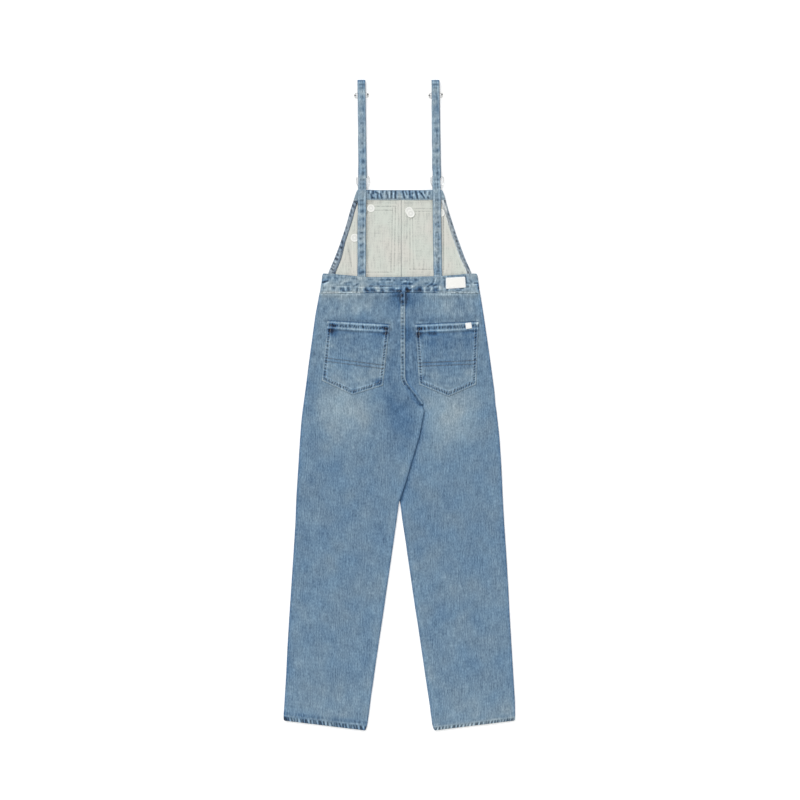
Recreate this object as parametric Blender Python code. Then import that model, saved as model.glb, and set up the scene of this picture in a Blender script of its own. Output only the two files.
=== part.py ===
"""Denim dungarees laid flat on their front, back upwards, as the separate pieces a maker sews together.

X runs across the garment towards the wearer's right, Y runs up the garment from the hems to the folds of the
straps, and Z is the height above the surface it lies on. The origin is on that surface, under the middle of the
garment's outline. The tables and sizes below are in millimetres, and every mesh is made in metres.
"""
import math
from collections import namedtuple

import bmesh
import bpy
import numpy as np
from mathutils import Matrix, Vector

MM = 0.001

# Cloth
GAP = 0.3              # left between pieces at a seam, and under a piece that lies on another
PLY = 1.2              # one ply of denim
DOUBLE = 2.0           # denim folded double, as in a hem or a waistband
TRIM = 1.0             # seam strip, label and tab

# The flattened tubes
LEG_HEIGHT = 5.4       # a leg, from the surface to the top of its back panel
BAND_HEIGHT = 7.4      # the waistband round the ends of the straps
CURL = (0, 30, 60, 90)  # angles of the points where cloth turns round a side, in degrees
FLAT_STEPS = 4         # steps across the plain width of a leg
LIFT = 3.0             # the left leg's front panel over the flattened right leg
RISE = 1.2             # extra height of the left leg's back panel there
SINK = LEG_HEIGHT - 2 * PLY - GAP  # how far the right leg is pressed down there
LAP_NEAR = 4.0         # clearance beside the lap before a panel starts to change height
LAP_STEP = 12.0        # distance between the points that carry the change of height

# One section of a leg: where it meets the side edge and the inner edge, how far the left leg laps over the
# right one (0 to 1), whether the inner edge is a fold (1) or a flat seam (0), and the ply of the cloth.
Section = namedtuple("Section", "side_x side_y inner_x inner_y lap fold ply")

LEFT_LEG = (
    Section(-192.9, 268.3, 7.85, 271.1, 0.0, 0, PLY),
    Section(-202.8, 217.0, 7.85, 217.0, 0.0, 0, PLY),
    Section(-212.6, 145.0, 7.85, 145.0, 0.0, 0, PLY),
    Section(-219.5, 95.0, 7.85, 95.0, 0.0, 0, PLY),
    Section(-223.6, 61.0, 8.15, 61.0, 0.0, 0, PLY),
    Section(-225.6, 46.0, 16.85, 46.0, 0.0, 0, PLY),
    Section(-227.4, 32.5, 29.35, 32.5, 0.0, 0, PLY),
    Section(-229.5, 17.0, 41.15, 17.0, 0.3, 0, PLY),
    Section(-231.5, 2.0, 53.15, 2.0, 1.0, 0, PLY),
    Section(-233.5, -12.0, 58.8, -12.0, 1.0, 1, PLY),
    Section(-236.2, -35.0, 55.4, -35.0, 1.0, 1, PLY),
    Section(-239.3, -75.0, 47.5, -75.0, 1.0, 1, PLY),
    Section(-243.6, -143.0, 27.0, -143.0, 1.0, 1, PLY),
    Section(-248.2, -215.0, 6.0, -215.0, 1.0, 1, PLY),
    Section(-248.9, -232.0, 0.0, -232.0, 1.0, 1, PLY),
    Section(-251.0, -287.0, -6.8, -287.0, 0.0, 1, PLY),
    Section(-255.6, -359.0, -17.0, -359.0, 0.0, 1, PLY),
    Section(-260.4, -431.0, -27.4, -431.0, 0.0, 1, PLY),
    Section(-265.2, -503.0, -38.0, -506.0, 0.0, 1, PLY),
    Section(-269.6, -575.0, -49.0, -582.0, 0.0, 1, PLY),
    Section(-273.0, -647.0, -60.0, -660.0, 0.0, 1, PLY),
    Section(-277.0, -712.0, -72.0, -736.0, 0.0, 1, PLY),
    Section(-278.4, -735.0, -76.0, -763.6, 0.0, 1, PLY),
    Section(-278.8, -737.4, -76.4, -766.0, 0.0, 1, DOUBLE),
    Section(-279.0, -751.4, -80.0, -780.7, 0.0, 1, DOUBLE),
)

RIGHT_LEG = (
    Section(195.2, 268.3, 8.15, 271.1, 0.0, 0, PLY),
    Section(203.6, 217.0, 8.15, 217.0, 0.0, 0, PLY),
    Section(214.2, 145.0, 8.15, 145.0, 0.0, 0, PLY),
    Section(221.2, 95.0, 8.15, 95.0, 0.0, 0, PLY),
    Section(225.8, 61.0, 8.45, 61.0, 0.0, 0, PLY),
    Section(227.9, 46.0, 17.15, 46.0, 0.0, 0, PLY),
    Section(229.6, 32.5, 29.65, 32.5, 0.0, 0, PLY),
    Section(230.8, 17.0, 41.45, 17.0, 0.3, 0, PLY),
    Section(232.0, 2.0, 53.45, 2.0, 1.0, 0, PLY),
    Section(234.2, -12.0, 44.0, -12.0, 1.0, 1, PLY),
    Section(237.0, -35.0, 20.0, -35.0, 1.0, 1, PLY),
    Section(241.4, -75.0, -12.0, -75.0, 1.0, 1, PLY),
    Section(246.0, -143.0, -18.0, -143.0, 1.0, 1, PLY),
    Section(249.2, -215.0, 1.0, -215.0, 1.0, 1, PLY),
    Section(250.0, -232.0, 6.0, -232.0, 1.0, 1, PLY),
    Section(253.2, -287.0, 8.8, -287.0, 0.0, 1, PLY),
    Section(258.0, -359.0, 18.6, -359.0, 0.0, 1, PLY),
    Section(262.4, -431.0, 29.6, -431.0, 0.0, 1, PLY),
    Section(266.0, -503.0, 39.4, -506.0, 0.0, 1, PLY),
    Section(270.4, -575.0, 50.6, -582.0, 0.0, 1, PLY),
    Section(274.8, -647.0, 62.0, -660.0, 0.0, 1, PLY),
    Section(278.8, -712.0, 74.0, -736.0, 0.0, 1, PLY),
    Section(279.0, -738.0, 80.4, -764.0, 0.0, 1, PLY),
    Section(279.0, -740.4, 80.8, -766.4, 0.0, 1, DOUBLE),
    Section(278.8, -754.0, 84.8, -780.7, 0.0, 1, DOUBLE),
)

SEAM_ROWS = 9          # sections, from the waist down, whose inner edge is the seat seam
SEAM_WIDTH = 11.0      # the felled seat seam

# Waistband: its side edge at the bottom and top, and the height of its top edge across the back
BAND_SIDE = {"left": (-192.7, -185.3), "right": (195.0, 188.2)}
BAND_FOOT = ((-192.7, 268.6), (8.0, 271.4), (195.0, 268.6))
BAND_TOP = ((-185.3, 315.6), (-142.8, 313.4), (-104.4, 310.6), (-80.4, 307.4), (1.2, 307.9), (80.4, 309.6),
            (116.4, 311.5), (172.0, 315.4), (188.2, 315.2))
BAND_SIDE_TOP = 315.6  # where the side edges of BAND_SIDE end
FRONT_BAND_TOP = 302.0
BAND_CROWN = 0.3       # how much lower a band's stitched edges are than its middle
BAND_STEPS = 16

# Back pockets: corners from the top left, round to the point at the foot
Pocket = namedtuple("Pocket", "top_left top_right foot_left point foot_right")
BACK_POCKETS = {
    "left": Pocket((-172.1, 204.7), (-22.8, 195.8), (-186.5, 59.8), (-112.6, 25.2), (-39.6, 48.2)),
    "right": Pocket((37.2, 195.4), (189.4, 202.6), (46.8, 50.2), (117.6, 21.2), (184.1, 50.9)),
}
POCKET_HEM = 0.125     # depth of a pocket's hem as a share of its height
POCKET_HEM_PLY = 1.7
POCKET_COLUMNS = 8
LABEL = ((111.6, 280.1), (158.4, 283.4), (156.7, 308.4), (111.6, 305.8))
TAB = ((156.6, 182.2), (174.4, 182.8), (174.2, 197.6), (156.6, 197.8))

# Bib: its side edges at each height, from its foot behind the waistband to its top edge
BibSection = namedtuple("BibSection", "y left right")
BIB = (
    BibSection(302.3, -172.2, 174.4), BibSection(317.0, -171.6, 173.8), BibSection(325.0, -168.8, 171.2),
    BibSection(354.0, -156.4, 158.2), BibSection(383.0, -145.2, 147.6), BibSection(411.0, -135.8, 137.4),
    BibSection(440.0, -126.6, 128.0), BibSection(469.0, -118.8, 118.8), BibSection(483.5, -114.0, 114.8),
    BibSection(493.2, -110.8, 112.0), BibSection(503.0, -107.6, 109.4), BibSection(512.0, -104.4, 106.6),
    BibSection(516.5, -101.4, 102.4),
)
BIB_SEAM = 4.8         # the seam down the middle of the bib
BIB_HEM = 11.0         # width of the turned side edges
BIB_EDGE_STEPS = (0.0, 3.6, 7.2, BIB_HEM)
BIB_STEPS = 9          # steps from a turned edge to the middle seam
FACING_FOOT = 9        # row of BIB where the facing of the top edge starts
POCKET_LAYER = PLY + GAP           # how high the bib lies over its outer pockets
BUTTON_LAYER = 4.8                 # how high it lies over a button and its buckle
BUTTON_REACH = 14.0                # half-width of that raised place
BUTTON_SLOPE = (16.0, 9.7)         # distance across and down in which the bib comes down from it
BIB_POCKETS = {
    "left": ((320.0, -110.4, -13.4), (397.0, -110.4, -11.0), (478.0, -69.6, -8.8)),
    "right": ((325.0, 23.8, 107.0), (397.0, 24.4, 107.0), (472.0, 24.8, 106.4)),
}

# Straps, seen in the Y-Z plane: rows of (y, height of the strap's middle), as the strap runs from behind the
# waistband over the bib to its top fold, back down on the surface to the buckle, and up to the slider.
STRAP_WIDTH = 21.8
STRAP_PLY = 1.8
TOP_FOLD = 780.8
BUCKLE_BAR = 549.0
UPPER_RUN = ((274.0, 4.2), (360.0, 4.2), (385.0, 5.1), (476.0, 5.1), (494.0, 8.75), (521.0, 8.75), (539.0, 7.9),
             (556.0, 7.9), (579.0, 5.2), (715.0, 5.2), (735.0, 6.8), (757.0, 6.8), (777.0, 6.6))
UNDER_RUN = ((777.0, 0.9), (772.0, 0.9), (755.0, 2.4), (735.0, 2.4), (715.0, 0.9), (549.0, 0.9))
RETURN_RUN = ((549.0, 5.7), (556.0, 5.7), (579.0, 3.0), (715.0, 3.0), (735.0, 4.5), (741.8, 4.5))
STRAP_STEP = 12.0      # longest step along a run
TURN_STEPS = 6         # steps round a fold
# Middle of each strap at the waist, at its top fold and at its buckle
STRAP_X = {"left": (-88.6, -91.2, -87.8), "right": (89.2, 87.6, 90.2)}

# Metal
WIRE = 1.1             # radius of the buckle's wire
BUCKLE_HEIGHT = 3.4    # middle of the wire above the surface
# Half of the buckle's outline, from the middle of its bar round to its foot: (x, y below the bar)
BUCKLE_HALF = ((0.0, 0.0), (12.0, 0.0), (14.4, -0.9), (15.3, -3.4), (15.3, -10.0), (15.1, -15.0), (13.2, -20.0),
               (9.6, -26.5), (6.8, -32.0), (5.7, -37.0), (5.7, -45.0), (5.1, -48.0), (3.2, -50.3), (0.0, -51.2))
BUTTON_Y = BUCKLE_BAR - 45.0
BUTTON_PROFILE = ((0.0, 0.0), (7.8, 0.0), (8.5, 0.6), (8.5, 1.5), (8.0, 2.0), (2.5, 2.0), (2.5, 4.5), (0.0, 4.5))
SLIDER_X = {"left": -91.4, "right": 86.6}
SLIDER_Y = 744.7
SLIDER_TURN = 4.0      # degrees
SLIDER_PLY = 1.2
SLIDER_ARCH = 3.6      # height of its middle bar over its outer bars
SLIDER_COLUMNS = (-17.0, -13.6, 13.6, 17.0)
SLIDER_ROWS = (-6.9, -5.3, -0.8, 0.8, 5.3, 6.9)
SLIDER_CORNER = 15.4   # half-width of its outer bars, within the pointed ends

# Discs on the inside of the bib: x, y, radius, layer (0 on the cloth, 1 on another disc)
Disc = namedtuple("Disc", "name x y radius layer")
DISCS = (
    Disc("disc_pocket_left", -68.4, 472.8, 9.2, 0), Disc("disc_side", -107.3, 402.0, 9.8, 0),
    Disc("disc_middle_lower", 23.2, 466.6, 9.4, 0), Disc("disc_middle_upper", 27.2, 459.8, 9.4, 1),
    Disc("disc_pocket_right", 99.3, 462.0, 9.6, 0),
)
DISC_PLY = 0.8
ROUND_STEPS = 24

# Colours: linear base colour, roughness, metallic
FINISHES = {
    "denim": ((0.165, 0.255, 0.350), 0.90, 0.0),
    "denim_inside": ((0.620, 0.640, 0.600), 0.92, 0.0),
    "steel": ((0.720, 0.720, 0.700), 0.28, 1.0),
    "white_disc": ((0.820, 0.830, 0.800), 0.45, 0.0),
    "label": ((0.880, 0.880, 0.850), 0.60, 0.0),
}


def clear_scene():
    for item in list(bpy.data.objects):
        bpy.data.objects.remove(item, do_unlink=True)


def material(name, finish):
    """A material of its own for one piece."""
    colour, roughness, metallic = FINISHES[finish]
    made = bpy.data.materials.new(name)
    made.use_nodes = True
    shader = made.node_tree.nodes["Principled BSDF"]
    shader.inputs["Base Color"].default_value = (*colour, 1.0)
    shader.inputs["Roughness"].default_value = roughness
    shader.inputs["Metallic"].default_value = metallic
    return made


def add_piece(name, finish, bm, smooth_angle=None):
    """Turn a bmesh into the named piece."""
    bmesh.ops.recalc_face_normals(bm, faces=bm.faces[:])
    mesh = bpy.data.meshes.new(name)
    bm.to_mesh(mesh)
    bm.free()
    if smooth_angle is not None:
        mesh.shade_smooth()
        mesh.set_sharp_from_angle(angle=math.radians(smooth_angle))
    piece = bpy.data.objects.new(name, mesh)
    piece.data.materials.append(material(name, finish))
    bpy.context.collection.objects.link(piece)
    return piece


def wall(name, finish, outer, inner):
    """A closed wall of cloth between two equal grids of points: rows of (x, y, z) in millimetres."""
    rows = len(outer) - 1
    columns = len(outer[0]) - 1
    bm = bmesh.new()
    bmesh.ops.create_grid(bm, x_segments=columns, y_segments=rows, size=1.0)
    swept = bmesh.ops.extrude_face_region(bm, geom=bm.faces[:], use_keep_orig=True)
    inner_side = {item for item in swept["geom"] if isinstance(item, bmesh.types.BMVert)}
    for vertex in bm.verts:
        column = round((vertex.co.x + 1.0) / 2.0 * columns)
        row = round((vertex.co.y + 1.0) / 2.0 * rows)
        grid = inner if vertex in inner_side else outer
        vertex.co = Vector(grid[row][column]) * MM
    return add_piece(name, finish, bm, smooth_angle=35)


def raised(grid, distance):
    """A grid of points moved up."""
    return [[(x, y, z + distance) for x, y, z in row] for row in grid]


def steps(start, end, count):
    """Evenly spaced values after start, up to end."""
    return [start + (end - start) * (index + 1) / count for index in range(count)]


def ease(start, end, value):
    """0 at start, 1 at end, smooth between them."""
    share = min(max((value - start) / (end - start), 0.0), 1.0)
    return share * share * (3.0 - 2.0 * share)


# Legs

def lapped(section, other, side):
    """Share of the lap's change of height at an x: 1 over (or under) the other leg, 0 well clear of it."""
    near = other.inner_x + side * LAP_NEAR
    far = near + side * 2 * LAP_STEP
    return lambda x: section.lap * (1.0 - ease(near, far, x))


def leg_heights(section, other, side, x):
    """Heights of the underside and the top of a leg at one place."""
    share = lapped(section, other, side)(x)
    extra = section.ply - PLY
    if side < 0:
        return LIFT * share, LEG_HEIGHT + RISE * share + extra
    return 0.0, LEG_HEIGHT - SINK * share + extra


def half_height(section, other, side, x):
    low, high = leg_heights(section, other, side, x)
    return (high - low) / 2.0


def leg_stations(section, other, side):
    """x of the points across a leg's flat width, from its side edge to its inner edge."""
    side_turn = half_height(section, other, side, section.side_x)
    inner_turn = half_height(section, other, side, section.inner_x)
    start = section.side_x - side * side_turn
    end = section.inner_x + side * inner_turn
    near = max(side * other.inner_x + LAP_NEAR, side * end + LAP_STEP / 2) * side
    far = near + side * 2 * LAP_STEP
    stations = steps(start, far, FLAT_STEPS)
    stations += steps(far, near, 2)
    stations += steps(near, end, 2)
    return stations[:-1]


def leg_row(section, other, side, face):
    """Outer and inner points of one section of a leg panel; face is 1 for the back and -1 for the front."""
    outer, inner = [], []

    def along(x):
        share = (x - section.side_x) / (section.inner_x - section.side_x)
        return section.side_y + (section.inner_y - section.side_y) * share

    def turn(edge_x, inward, angle, fold):
        low, high = leg_heights(section, other, side, edge_x)
        middle, radius = (low + high) / 2.0, (high - low) / 2.0
        sine, cosine = math.sin(math.radians(angle)), math.cos(math.radians(angle))
        for points, reach in ((outer, radius), (inner, radius - section.ply)):
            folded_z = middle + face * max(reach * sine, GAP / 2)
            flat_z = middle + face * reach
            flat_x = edge_x + inward * radius * (1.0 - cosine)
            folded_x = edge_x + inward * (radius - reach * cosine)
            x = flat_x + (folded_x - flat_x) * fold
            points.append((x, along(x), flat_z + (folded_z - flat_z) * fold))

    for angle in CURL:
        turn(section.side_x, -side, angle, 1)
    for x in leg_stations(section, other, side):
        low, high = leg_heights(section, other, side, x)
        surface = high if face > 0 else low
        outer.append((x, along(x), surface))
        inner.append((x, along(x), surface - face * section.ply))
    for angle in reversed(CURL):
        turn(section.inner_x, side, angle, section.fold)
    return outer, inner


def leg_panel(name, sections, others, side, face):
    rows = [leg_row(section, other, side, face) for section, other in zip(sections, others)]
    return wall(name, "denim", [outer for outer, _ in rows], [inner for _, inner in rows])


def seat_seam():
    """The felled seam from the waistband to the crotch, lying on both back panels."""
    middle = [Vector((row.inner_x + GAP / 2, row.inner_y)) for row in LEFT_LEG[:SEAM_ROWS]]
    lower = []
    for index, row in enumerate(LEFT_LEG[:SEAM_ROWS]):
        before = middle[max(index - 1, 0)]
        after = middle[min(index + 1, SEAM_ROWS - 1)]
        across = (after - before).normalized().orthogonal() * SEAM_WIDTH / 2
        height = LEG_HEIGHT + RISE * row.lap + GAP
        ends = (middle[index] - across, middle[index] + across)
        lower.append([(end.x, end.y, height) for end in (ends[0], middle[index], ends[1])])
    return wall("seat_seam", "denim", raised(lower, TRIM), lower)


# Waistband

def band_panel(name, face, top_of):
    """Half of the waistband's flattened tube; top_of gives the height of its top edge at an x."""
    outer, inner = [], []
    radius = BAND_HEIGHT / 2.0
    for share, crown in ((0.0, BAND_CROWN), (0.5, 0.0), (1.0, BAND_CROWN)):
        edges = {}
        for side, (foot_x, top_x) in BAND_SIDE.items():
            reach = (top_of(top_x) - BAND_FOOT[0][1]) / (BAND_SIDE_TOP - BAND_FOOT[0][1])
            edges[side] = foot_x + (top_x - foot_x) * reach * share
        outer_row, inner_row = [], []

        def add(points, x, z):
            foot = np.interp(x, *zip(*BAND_FOOT))
            points.append((x, foot + (top_of(x) - foot) * share, z))

        def turn(edge_x, inward, angle):
            sine, cosine = math.sin(math.radians(angle)), math.cos(math.radians(angle))
            for points, reach in ((outer_row, radius), (inner_row, radius - DOUBLE)):
                height = max(reach * sine, GAP / 2) - (crown * sine if points is outer_row and face > 0 else 0.0)
                add(points, edge_x + inward * (radius - reach * cosine), radius + face * height)

        for angle in CURL:
            turn(edges["left"], 1, angle)
        surface = BAND_HEIGHT - crown if face > 0 else 0.0
        inside = BAND_HEIGHT - DOUBLE if face > 0 else DOUBLE
        for x in steps(edges["left"] + radius, edges["right"] - radius, BAND_STEPS)[:-1]:
            add(outer_row, x, surface)
            add(inner_row, x, inside)
        for angle in reversed(CURL):
            turn(edges["right"], -1, angle)
        outer.append(outer_row)
        inner.append(inner_row)
    return wall(name, "denim", outer, inner)


def waistband():
    band_panel("waistband_back", 1, lambda x: float(np.interp(x, *zip(*BAND_TOP))))
    band_panel("waistband_front", -1, lambda x: FRONT_BAND_TOP)


# Pockets, label and tab

def back_pocket(side):
    """A five-sided patch pocket with a thicker hem, lying on the back panel."""
    pocket = BACK_POCKETS[side]
    shares = (0.0, POCKET_HEM - 0.01, POCKET_HEM + 0.01, 0.34, 0.56, 0.78, 1.0)
    plies = (POCKET_HEM_PLY, POCKET_HEM_PLY, PLY, PLY, PLY, PLY, PLY)
    half = POCKET_COLUMNS // 2
    lower, upper = [], []
    for share, ply in zip(shares, plies):
        row = []
        for column in range(POCKET_COLUMNS + 1):
            top = Vector(pocket.top_left).lerp(Vector(pocket.top_right), column / POCKET_COLUMNS)
            if column <= half:
                foot = Vector(pocket.foot_left).lerp(Vector(pocket.point), column / half)
            else:
                foot = Vector(pocket.point).lerp(Vector(pocket.foot_right), (column - half) / half)
            row.append(top.lerp(foot, share))
        lower.append([(place.x, place.y, LEG_HEIGHT + GAP) for place in row])
        upper.append([(place.x, place.y, LEG_HEIGHT + GAP + ply) for place in row])
    return wall("back_pocket_" + side, "denim", upper, lower)


def patch(name, corners, base):
    """A plain four-cornered patch lying at one height."""
    first, second, third, fourth = (Vector(corner) for corner in corners)
    lower = []
    for share in (0.0, 0.5, 1.0):
        left = first.lerp(fourth, share)
        right = second.lerp(third, share)
        lower.append([(*left.lerp(right, part), base) for part in (0.0, 0.5, 1.0)])
    return wall(name, "label", raised(lower, TRIM), lower)


# Bib

def bib_height(x, y, edge_x):
    """Height of the bib's underside: on the surface at its side edges, over its pockets and its buttons."""
    over_pockets = POCKET_LAYER * ease(0.0, 10.0, abs(x - edge_x))
    heights = [over_pockets]
    for strap in STRAP_X.values():
        across = max(abs(x - strap[2]) - BUTTON_REACH, 0.0) / BUTTON_SLOPE[0]
        down = max(BIB[FACING_FOOT].y - y, 0.0) / BUTTON_SLOPE[1]
        heights.append(BUTTON_LAYER - (BUTTON_LAYER - POCKET_LAYER) * (across + down))
    return max(heights)


def bib_row(y, edge_x, side):
    """Underside points of one half of the bib at one height, from its side edge to the middle seam."""
    seam_x = BIB_SEAM + side * GAP / 2
    places = [edge_x - side * step for step in BIB_EDGE_STEPS]
    places += steps(places[-1], seam_x, BIB_STEPS)
    return [(x, y, bib_height(x, y, edge_x)) for x in places]


def bib_grid(side):
    return [bib_row(row.y, row.left if side < 0 else row.right, side) for row in BIB]


def bib():
    """Both halves, the turned side edges and the facing of the top edge."""
    lifted = PLY + GAP
    facing = []
    for name, side in (("left", -1), ("right", 1)):
        under = bib_grid(side)
        wall("bib_" + name, "denim_inside", raised(under, PLY), under)
        body = under[:FACING_FOOT]
        last = BIB[FACING_FOOT]
        body.append(bib_row(last.y - GAP, last.left if side < 0 else last.right, side))
        hem = [row[:len(BIB_EDGE_STEPS)] for row in body]
        wall("bib_hem_" + name, "denim", raised(hem, lifted + PLY), raised(hem, lifted))
        rows = under[FACING_FOOT:]
        facing = rows if side < 0 else [left + right[::-1] for left, right in zip(facing, rows)]
    wall("bib_facing", "denim", raised(facing, lifted + PLY), raised(facing, lifted))


def bib_pocket(side):
    """A patch pocket on the outside of the bib, lying on the surface."""
    outer = []
    for y, left, right in BIB_POCKETS[side]:
        outer.append([(left + (right - left) * share, y, 0.0) for share in (0.0, 0.5, 1.0)])
    return wall("bib_pocket_" + side, "denim", outer, raised(outer, PLY))


# Straps

def run_points(run):
    """Points along a run of the strap, its height eased from row to row."""
    points = [run[0]]
    for (y0, z0), (y1, z1) in zip(run, run[1:]):
        count = max(math.ceil(abs(y1 - y0) / STRAP_STEP), 1 if z0 == z1 else 4)
        for y in steps(y0, y1, count):
            points.append((y, z0 + (z1 - z0) * ease(y0, y1, y)))
    return points


def turn_points(y, z_from, z_to, way):
    """Points round a fold of the strap at y, bulging up the garment (way 1) or down it (way -1)."""
    middle = (z_from + z_to) / 2.0
    radius = abs(z_to - z_from) / 2.0
    start = math.copysign(90.0, z_from - z_to)
    points = []
    for angle in steps(start, -start, TURN_STEPS)[:-1]:
        angle = math.radians(angle)
        points.append((y + way * radius * math.cos(angle), middle + radius * math.sin(angle)))
    return points


def strap(side):
    """One strap, from behind the waistband to its sewn end at the slider."""
    waist_x, fold_x, buckle_x = STRAP_X[side]
    upper = run_points(UPPER_RUN)
    fold = turn_points(UPPER_RUN[-1][0], UPPER_RUN[-1][1], UNDER_RUN[0][1], 1)
    lower = run_points(UNDER_RUN) + turn_points(BUCKLE_BAR, UNDER_RUN[-1][1], RETURN_RUN[0][1], -1)
    lower += run_points(RETURN_RUN)
    path = upper + fold + lower
    outer, inner = [], []
    for index, (y, z) in enumerate(path):
        before = Vector(path[max(index - 1, 0)])
        after = Vector(path[min(index + 1, len(path) - 1)])
        direction = (after - before).normalized()
        across = Vector((-direction.y, direction.x)) * STRAP_PLY / 2
        other_x = waist_x if index < len(upper) else buckle_x
        other_y = UPPER_RUN[0][0] if index < len(upper) else BUCKLE_BAR
        share = min(max((y - other_y) / (TOP_FOLD - other_y), 0.0), 1.0)
        middle_x = other_x + (fold_x - other_x) * share
        for grid, sign in ((outer, 1), (inner, -1)):
            place = Vector((y, z)) + across * sign
            grid.append([(middle_x + part * STRAP_WIDTH / 2, place.x, place.y) for part in (-1, 0, 1)])
    return wall("strap_" + side, "denim", outer, inner)


# Metal and discs

def buckle(side):
    """The wire buckle: a bar for the strap, narrowing to a loop round the button's shank."""
    half = [(x, y) for x, y in BUCKLE_HALF]
    outline = half + [(-x, y) for x, y in reversed(half[1:-1])]
    curve = bpy.data.curves.new("buckle_" + side, "CURVE")
    curve.dimensions = "3D"
    curve.bevel_depth = WIRE * MM
    curve.bevel_resolution = 2
    spline = curve.splines.new("POLY")
    spline.points.add(len(outline) - 1)
    for point, (x, y) in zip(spline.points, outline):
        point.co = (x * MM, y * MM, 0.0, 1.0)
    spline.use_cyclic_u = True
    curve.materials.append(material("buckle_" + side, "steel"))
    piece = bpy.data.objects.new("buckle_" + side, curve)
    piece.location = Vector((STRAP_X[side][2], BUCKLE_BAR, BUCKLE_HEIGHT)) * MM
    bpy.context.collection.objects.link(piece)
    return piece


def turned(name, finish, profile, place):
    """A round piece turned from a profile of (radius, height)."""
    bm = bmesh.new()
    ring = [bm.verts.new(Vector((radius, 0.0, height)) * MM) for radius, height in profile]
    edges = [bm.edges.new(pair) for pair in zip(ring, ring[1:])]
    bmesh.ops.spin(bm, geom=ring + edges, cent=(0, 0, 0), axis=(0, 0, 1), angle=math.tau, steps=ROUND_STEPS,
                   use_merge=True)
    bmesh.ops.remove_doubles(bm, verts=bm.verts[:], dist=0.00001)
    bmesh.ops.transform(bm, matrix=Matrix.Translation(Vector(place) * MM), verts=bm.verts[:])
    return add_piece(name, finish, bm, smooth_angle=30)


def disc(spec):
    """A thin round disc with a rolled rim and a shallow dish."""
    radius = spec.radius
    profile = ((0.0, 0.0), (radius - 0.3, 0.0), (radius, 0.25), (radius, 0.55), (radius - 0.4, DISC_PLY),
               (radius - 1.6, DISC_PLY), (radius - 2.4, 0.6), (0.0, 0.6))
    base = POCKET_LAYER + PLY + GAP + spec.layer * (DISC_PLY + GAP)
    return turned(spec.name, "white_disc", profile, (spec.x, spec.y, base))


def slider(side):
    """A three-bar slider: the strap lies over its outer bars and under its raised middle bar."""
    columns, rows = len(SLIDER_COLUMNS) - 1, len(SLIDER_ROWS) - 1
    bm = bmesh.new()
    bmesh.ops.create_grid(bm, x_segments=columns, y_segments=rows, size=1.0)
    for vertex in bm.verts:
        x = SLIDER_COLUMNS[round((vertex.co.x + 1.0) / 2.0 * columns)]
        y = SLIDER_ROWS[round((vertex.co.y + 1.0) / 2.0 * rows)]
        share = (abs(y) - SLIDER_ROWS[3]) / (SLIDER_ROWS[4] - SLIDER_ROWS[3])
        arch = SLIDER_ARCH * (1.0 - min(max(share, 0.0), 1.0))
        if abs(y) == SLIDER_ROWS[-1]:
            x = math.copysign(min(abs(x), SLIDER_CORNER), x)
        vertex.co = Vector((x, y, arch)) * MM
    slots = [face for face in bm.faces if abs(face.calc_center_median().x) < MM
             and SLIDER_ROWS[3] * MM < abs(face.calc_center_median().y) < SLIDER_ROWS[4] * MM]
    bmesh.ops.delete(bm, geom=slots, context="FACES")
    swept = bmesh.ops.extrude_face_region(bm, geom=bm.faces[:], use_keep_orig=True)
    top = [item for item in swept["geom"] if isinstance(item, bmesh.types.BMVert)]
    bmesh.ops.translate(bm, vec=(0.0, 0.0, SLIDER_PLY * MM), verts=top)
    piece = add_piece("slider_" + side, "steel", bm)
    piece.location = Vector((SLIDER_X[side], SLIDER_Y, 0.0)) * MM
    piece.rotation_euler.z = math.radians(SLIDER_TURN)
    return piece


def build():
    clear_scene()
    for name, own, other, side in (("left", LEFT_LEG, RIGHT_LEG, -1), ("right", RIGHT_LEG, LEFT_LEG, 1)):
        leg_panel("front_leg_" + name, own, other, side, -1)
        leg_panel("back_leg_" + name, own, other, side, 1)
        back_pocket(name)
        bib_pocket(name)
        strap(name)
        slider(name)
        buckle(name)
        turned("bib_button_" + name, "steel", BUTTON_PROFILE, (STRAP_X[name][2], BUTTON_Y, 0.0))
    seat_seam()
    waistband()
    bib()
    patch("label_patch", LABEL, BAND_HEIGHT + GAP)
    patch("pocket_tab", TAB, LEG_HEIGHT + GAP + POCKET_HEM_PLY + GAP)
    for spec in DISCS:
        disc(spec)


build()
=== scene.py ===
"""Denim dungarees laid flat on their front: cloth, sewing, wear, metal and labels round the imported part.

Sizes and places are in millimetres where nothing else is said, in the part's own frame: X across, Y up the
garment, Z up from the surface it lies on. Meshes are made in metres. Tones run from 0, dark, to 1, bare yarn.
"""

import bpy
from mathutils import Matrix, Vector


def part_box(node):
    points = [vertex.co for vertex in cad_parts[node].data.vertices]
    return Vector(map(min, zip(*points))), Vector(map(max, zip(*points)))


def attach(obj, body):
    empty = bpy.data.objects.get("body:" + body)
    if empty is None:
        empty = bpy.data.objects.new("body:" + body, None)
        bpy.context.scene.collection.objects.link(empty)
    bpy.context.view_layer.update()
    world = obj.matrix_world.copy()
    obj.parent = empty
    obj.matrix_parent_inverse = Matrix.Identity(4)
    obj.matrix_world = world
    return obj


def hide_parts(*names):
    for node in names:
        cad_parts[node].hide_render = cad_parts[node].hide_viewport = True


bl_info = {
    "name": "Denim dungarees",
    "version": (1, 0, 0),
    "blender": (4, 5, 0),
    "location": "3D View > Sidebar > Dungarees",
    "description": "Finishes a pair of denim dungarees that lies flat",
    "category": "Object",
}

import math
from collections import namedtuple

import bmesh
import bpy
import numpy as np
from bpy.props import FloatProperty, FloatVectorProperty, PointerProperty
from mathutils import Matrix, Vector
from mathutils.bvhtree import BVHTree

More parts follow.
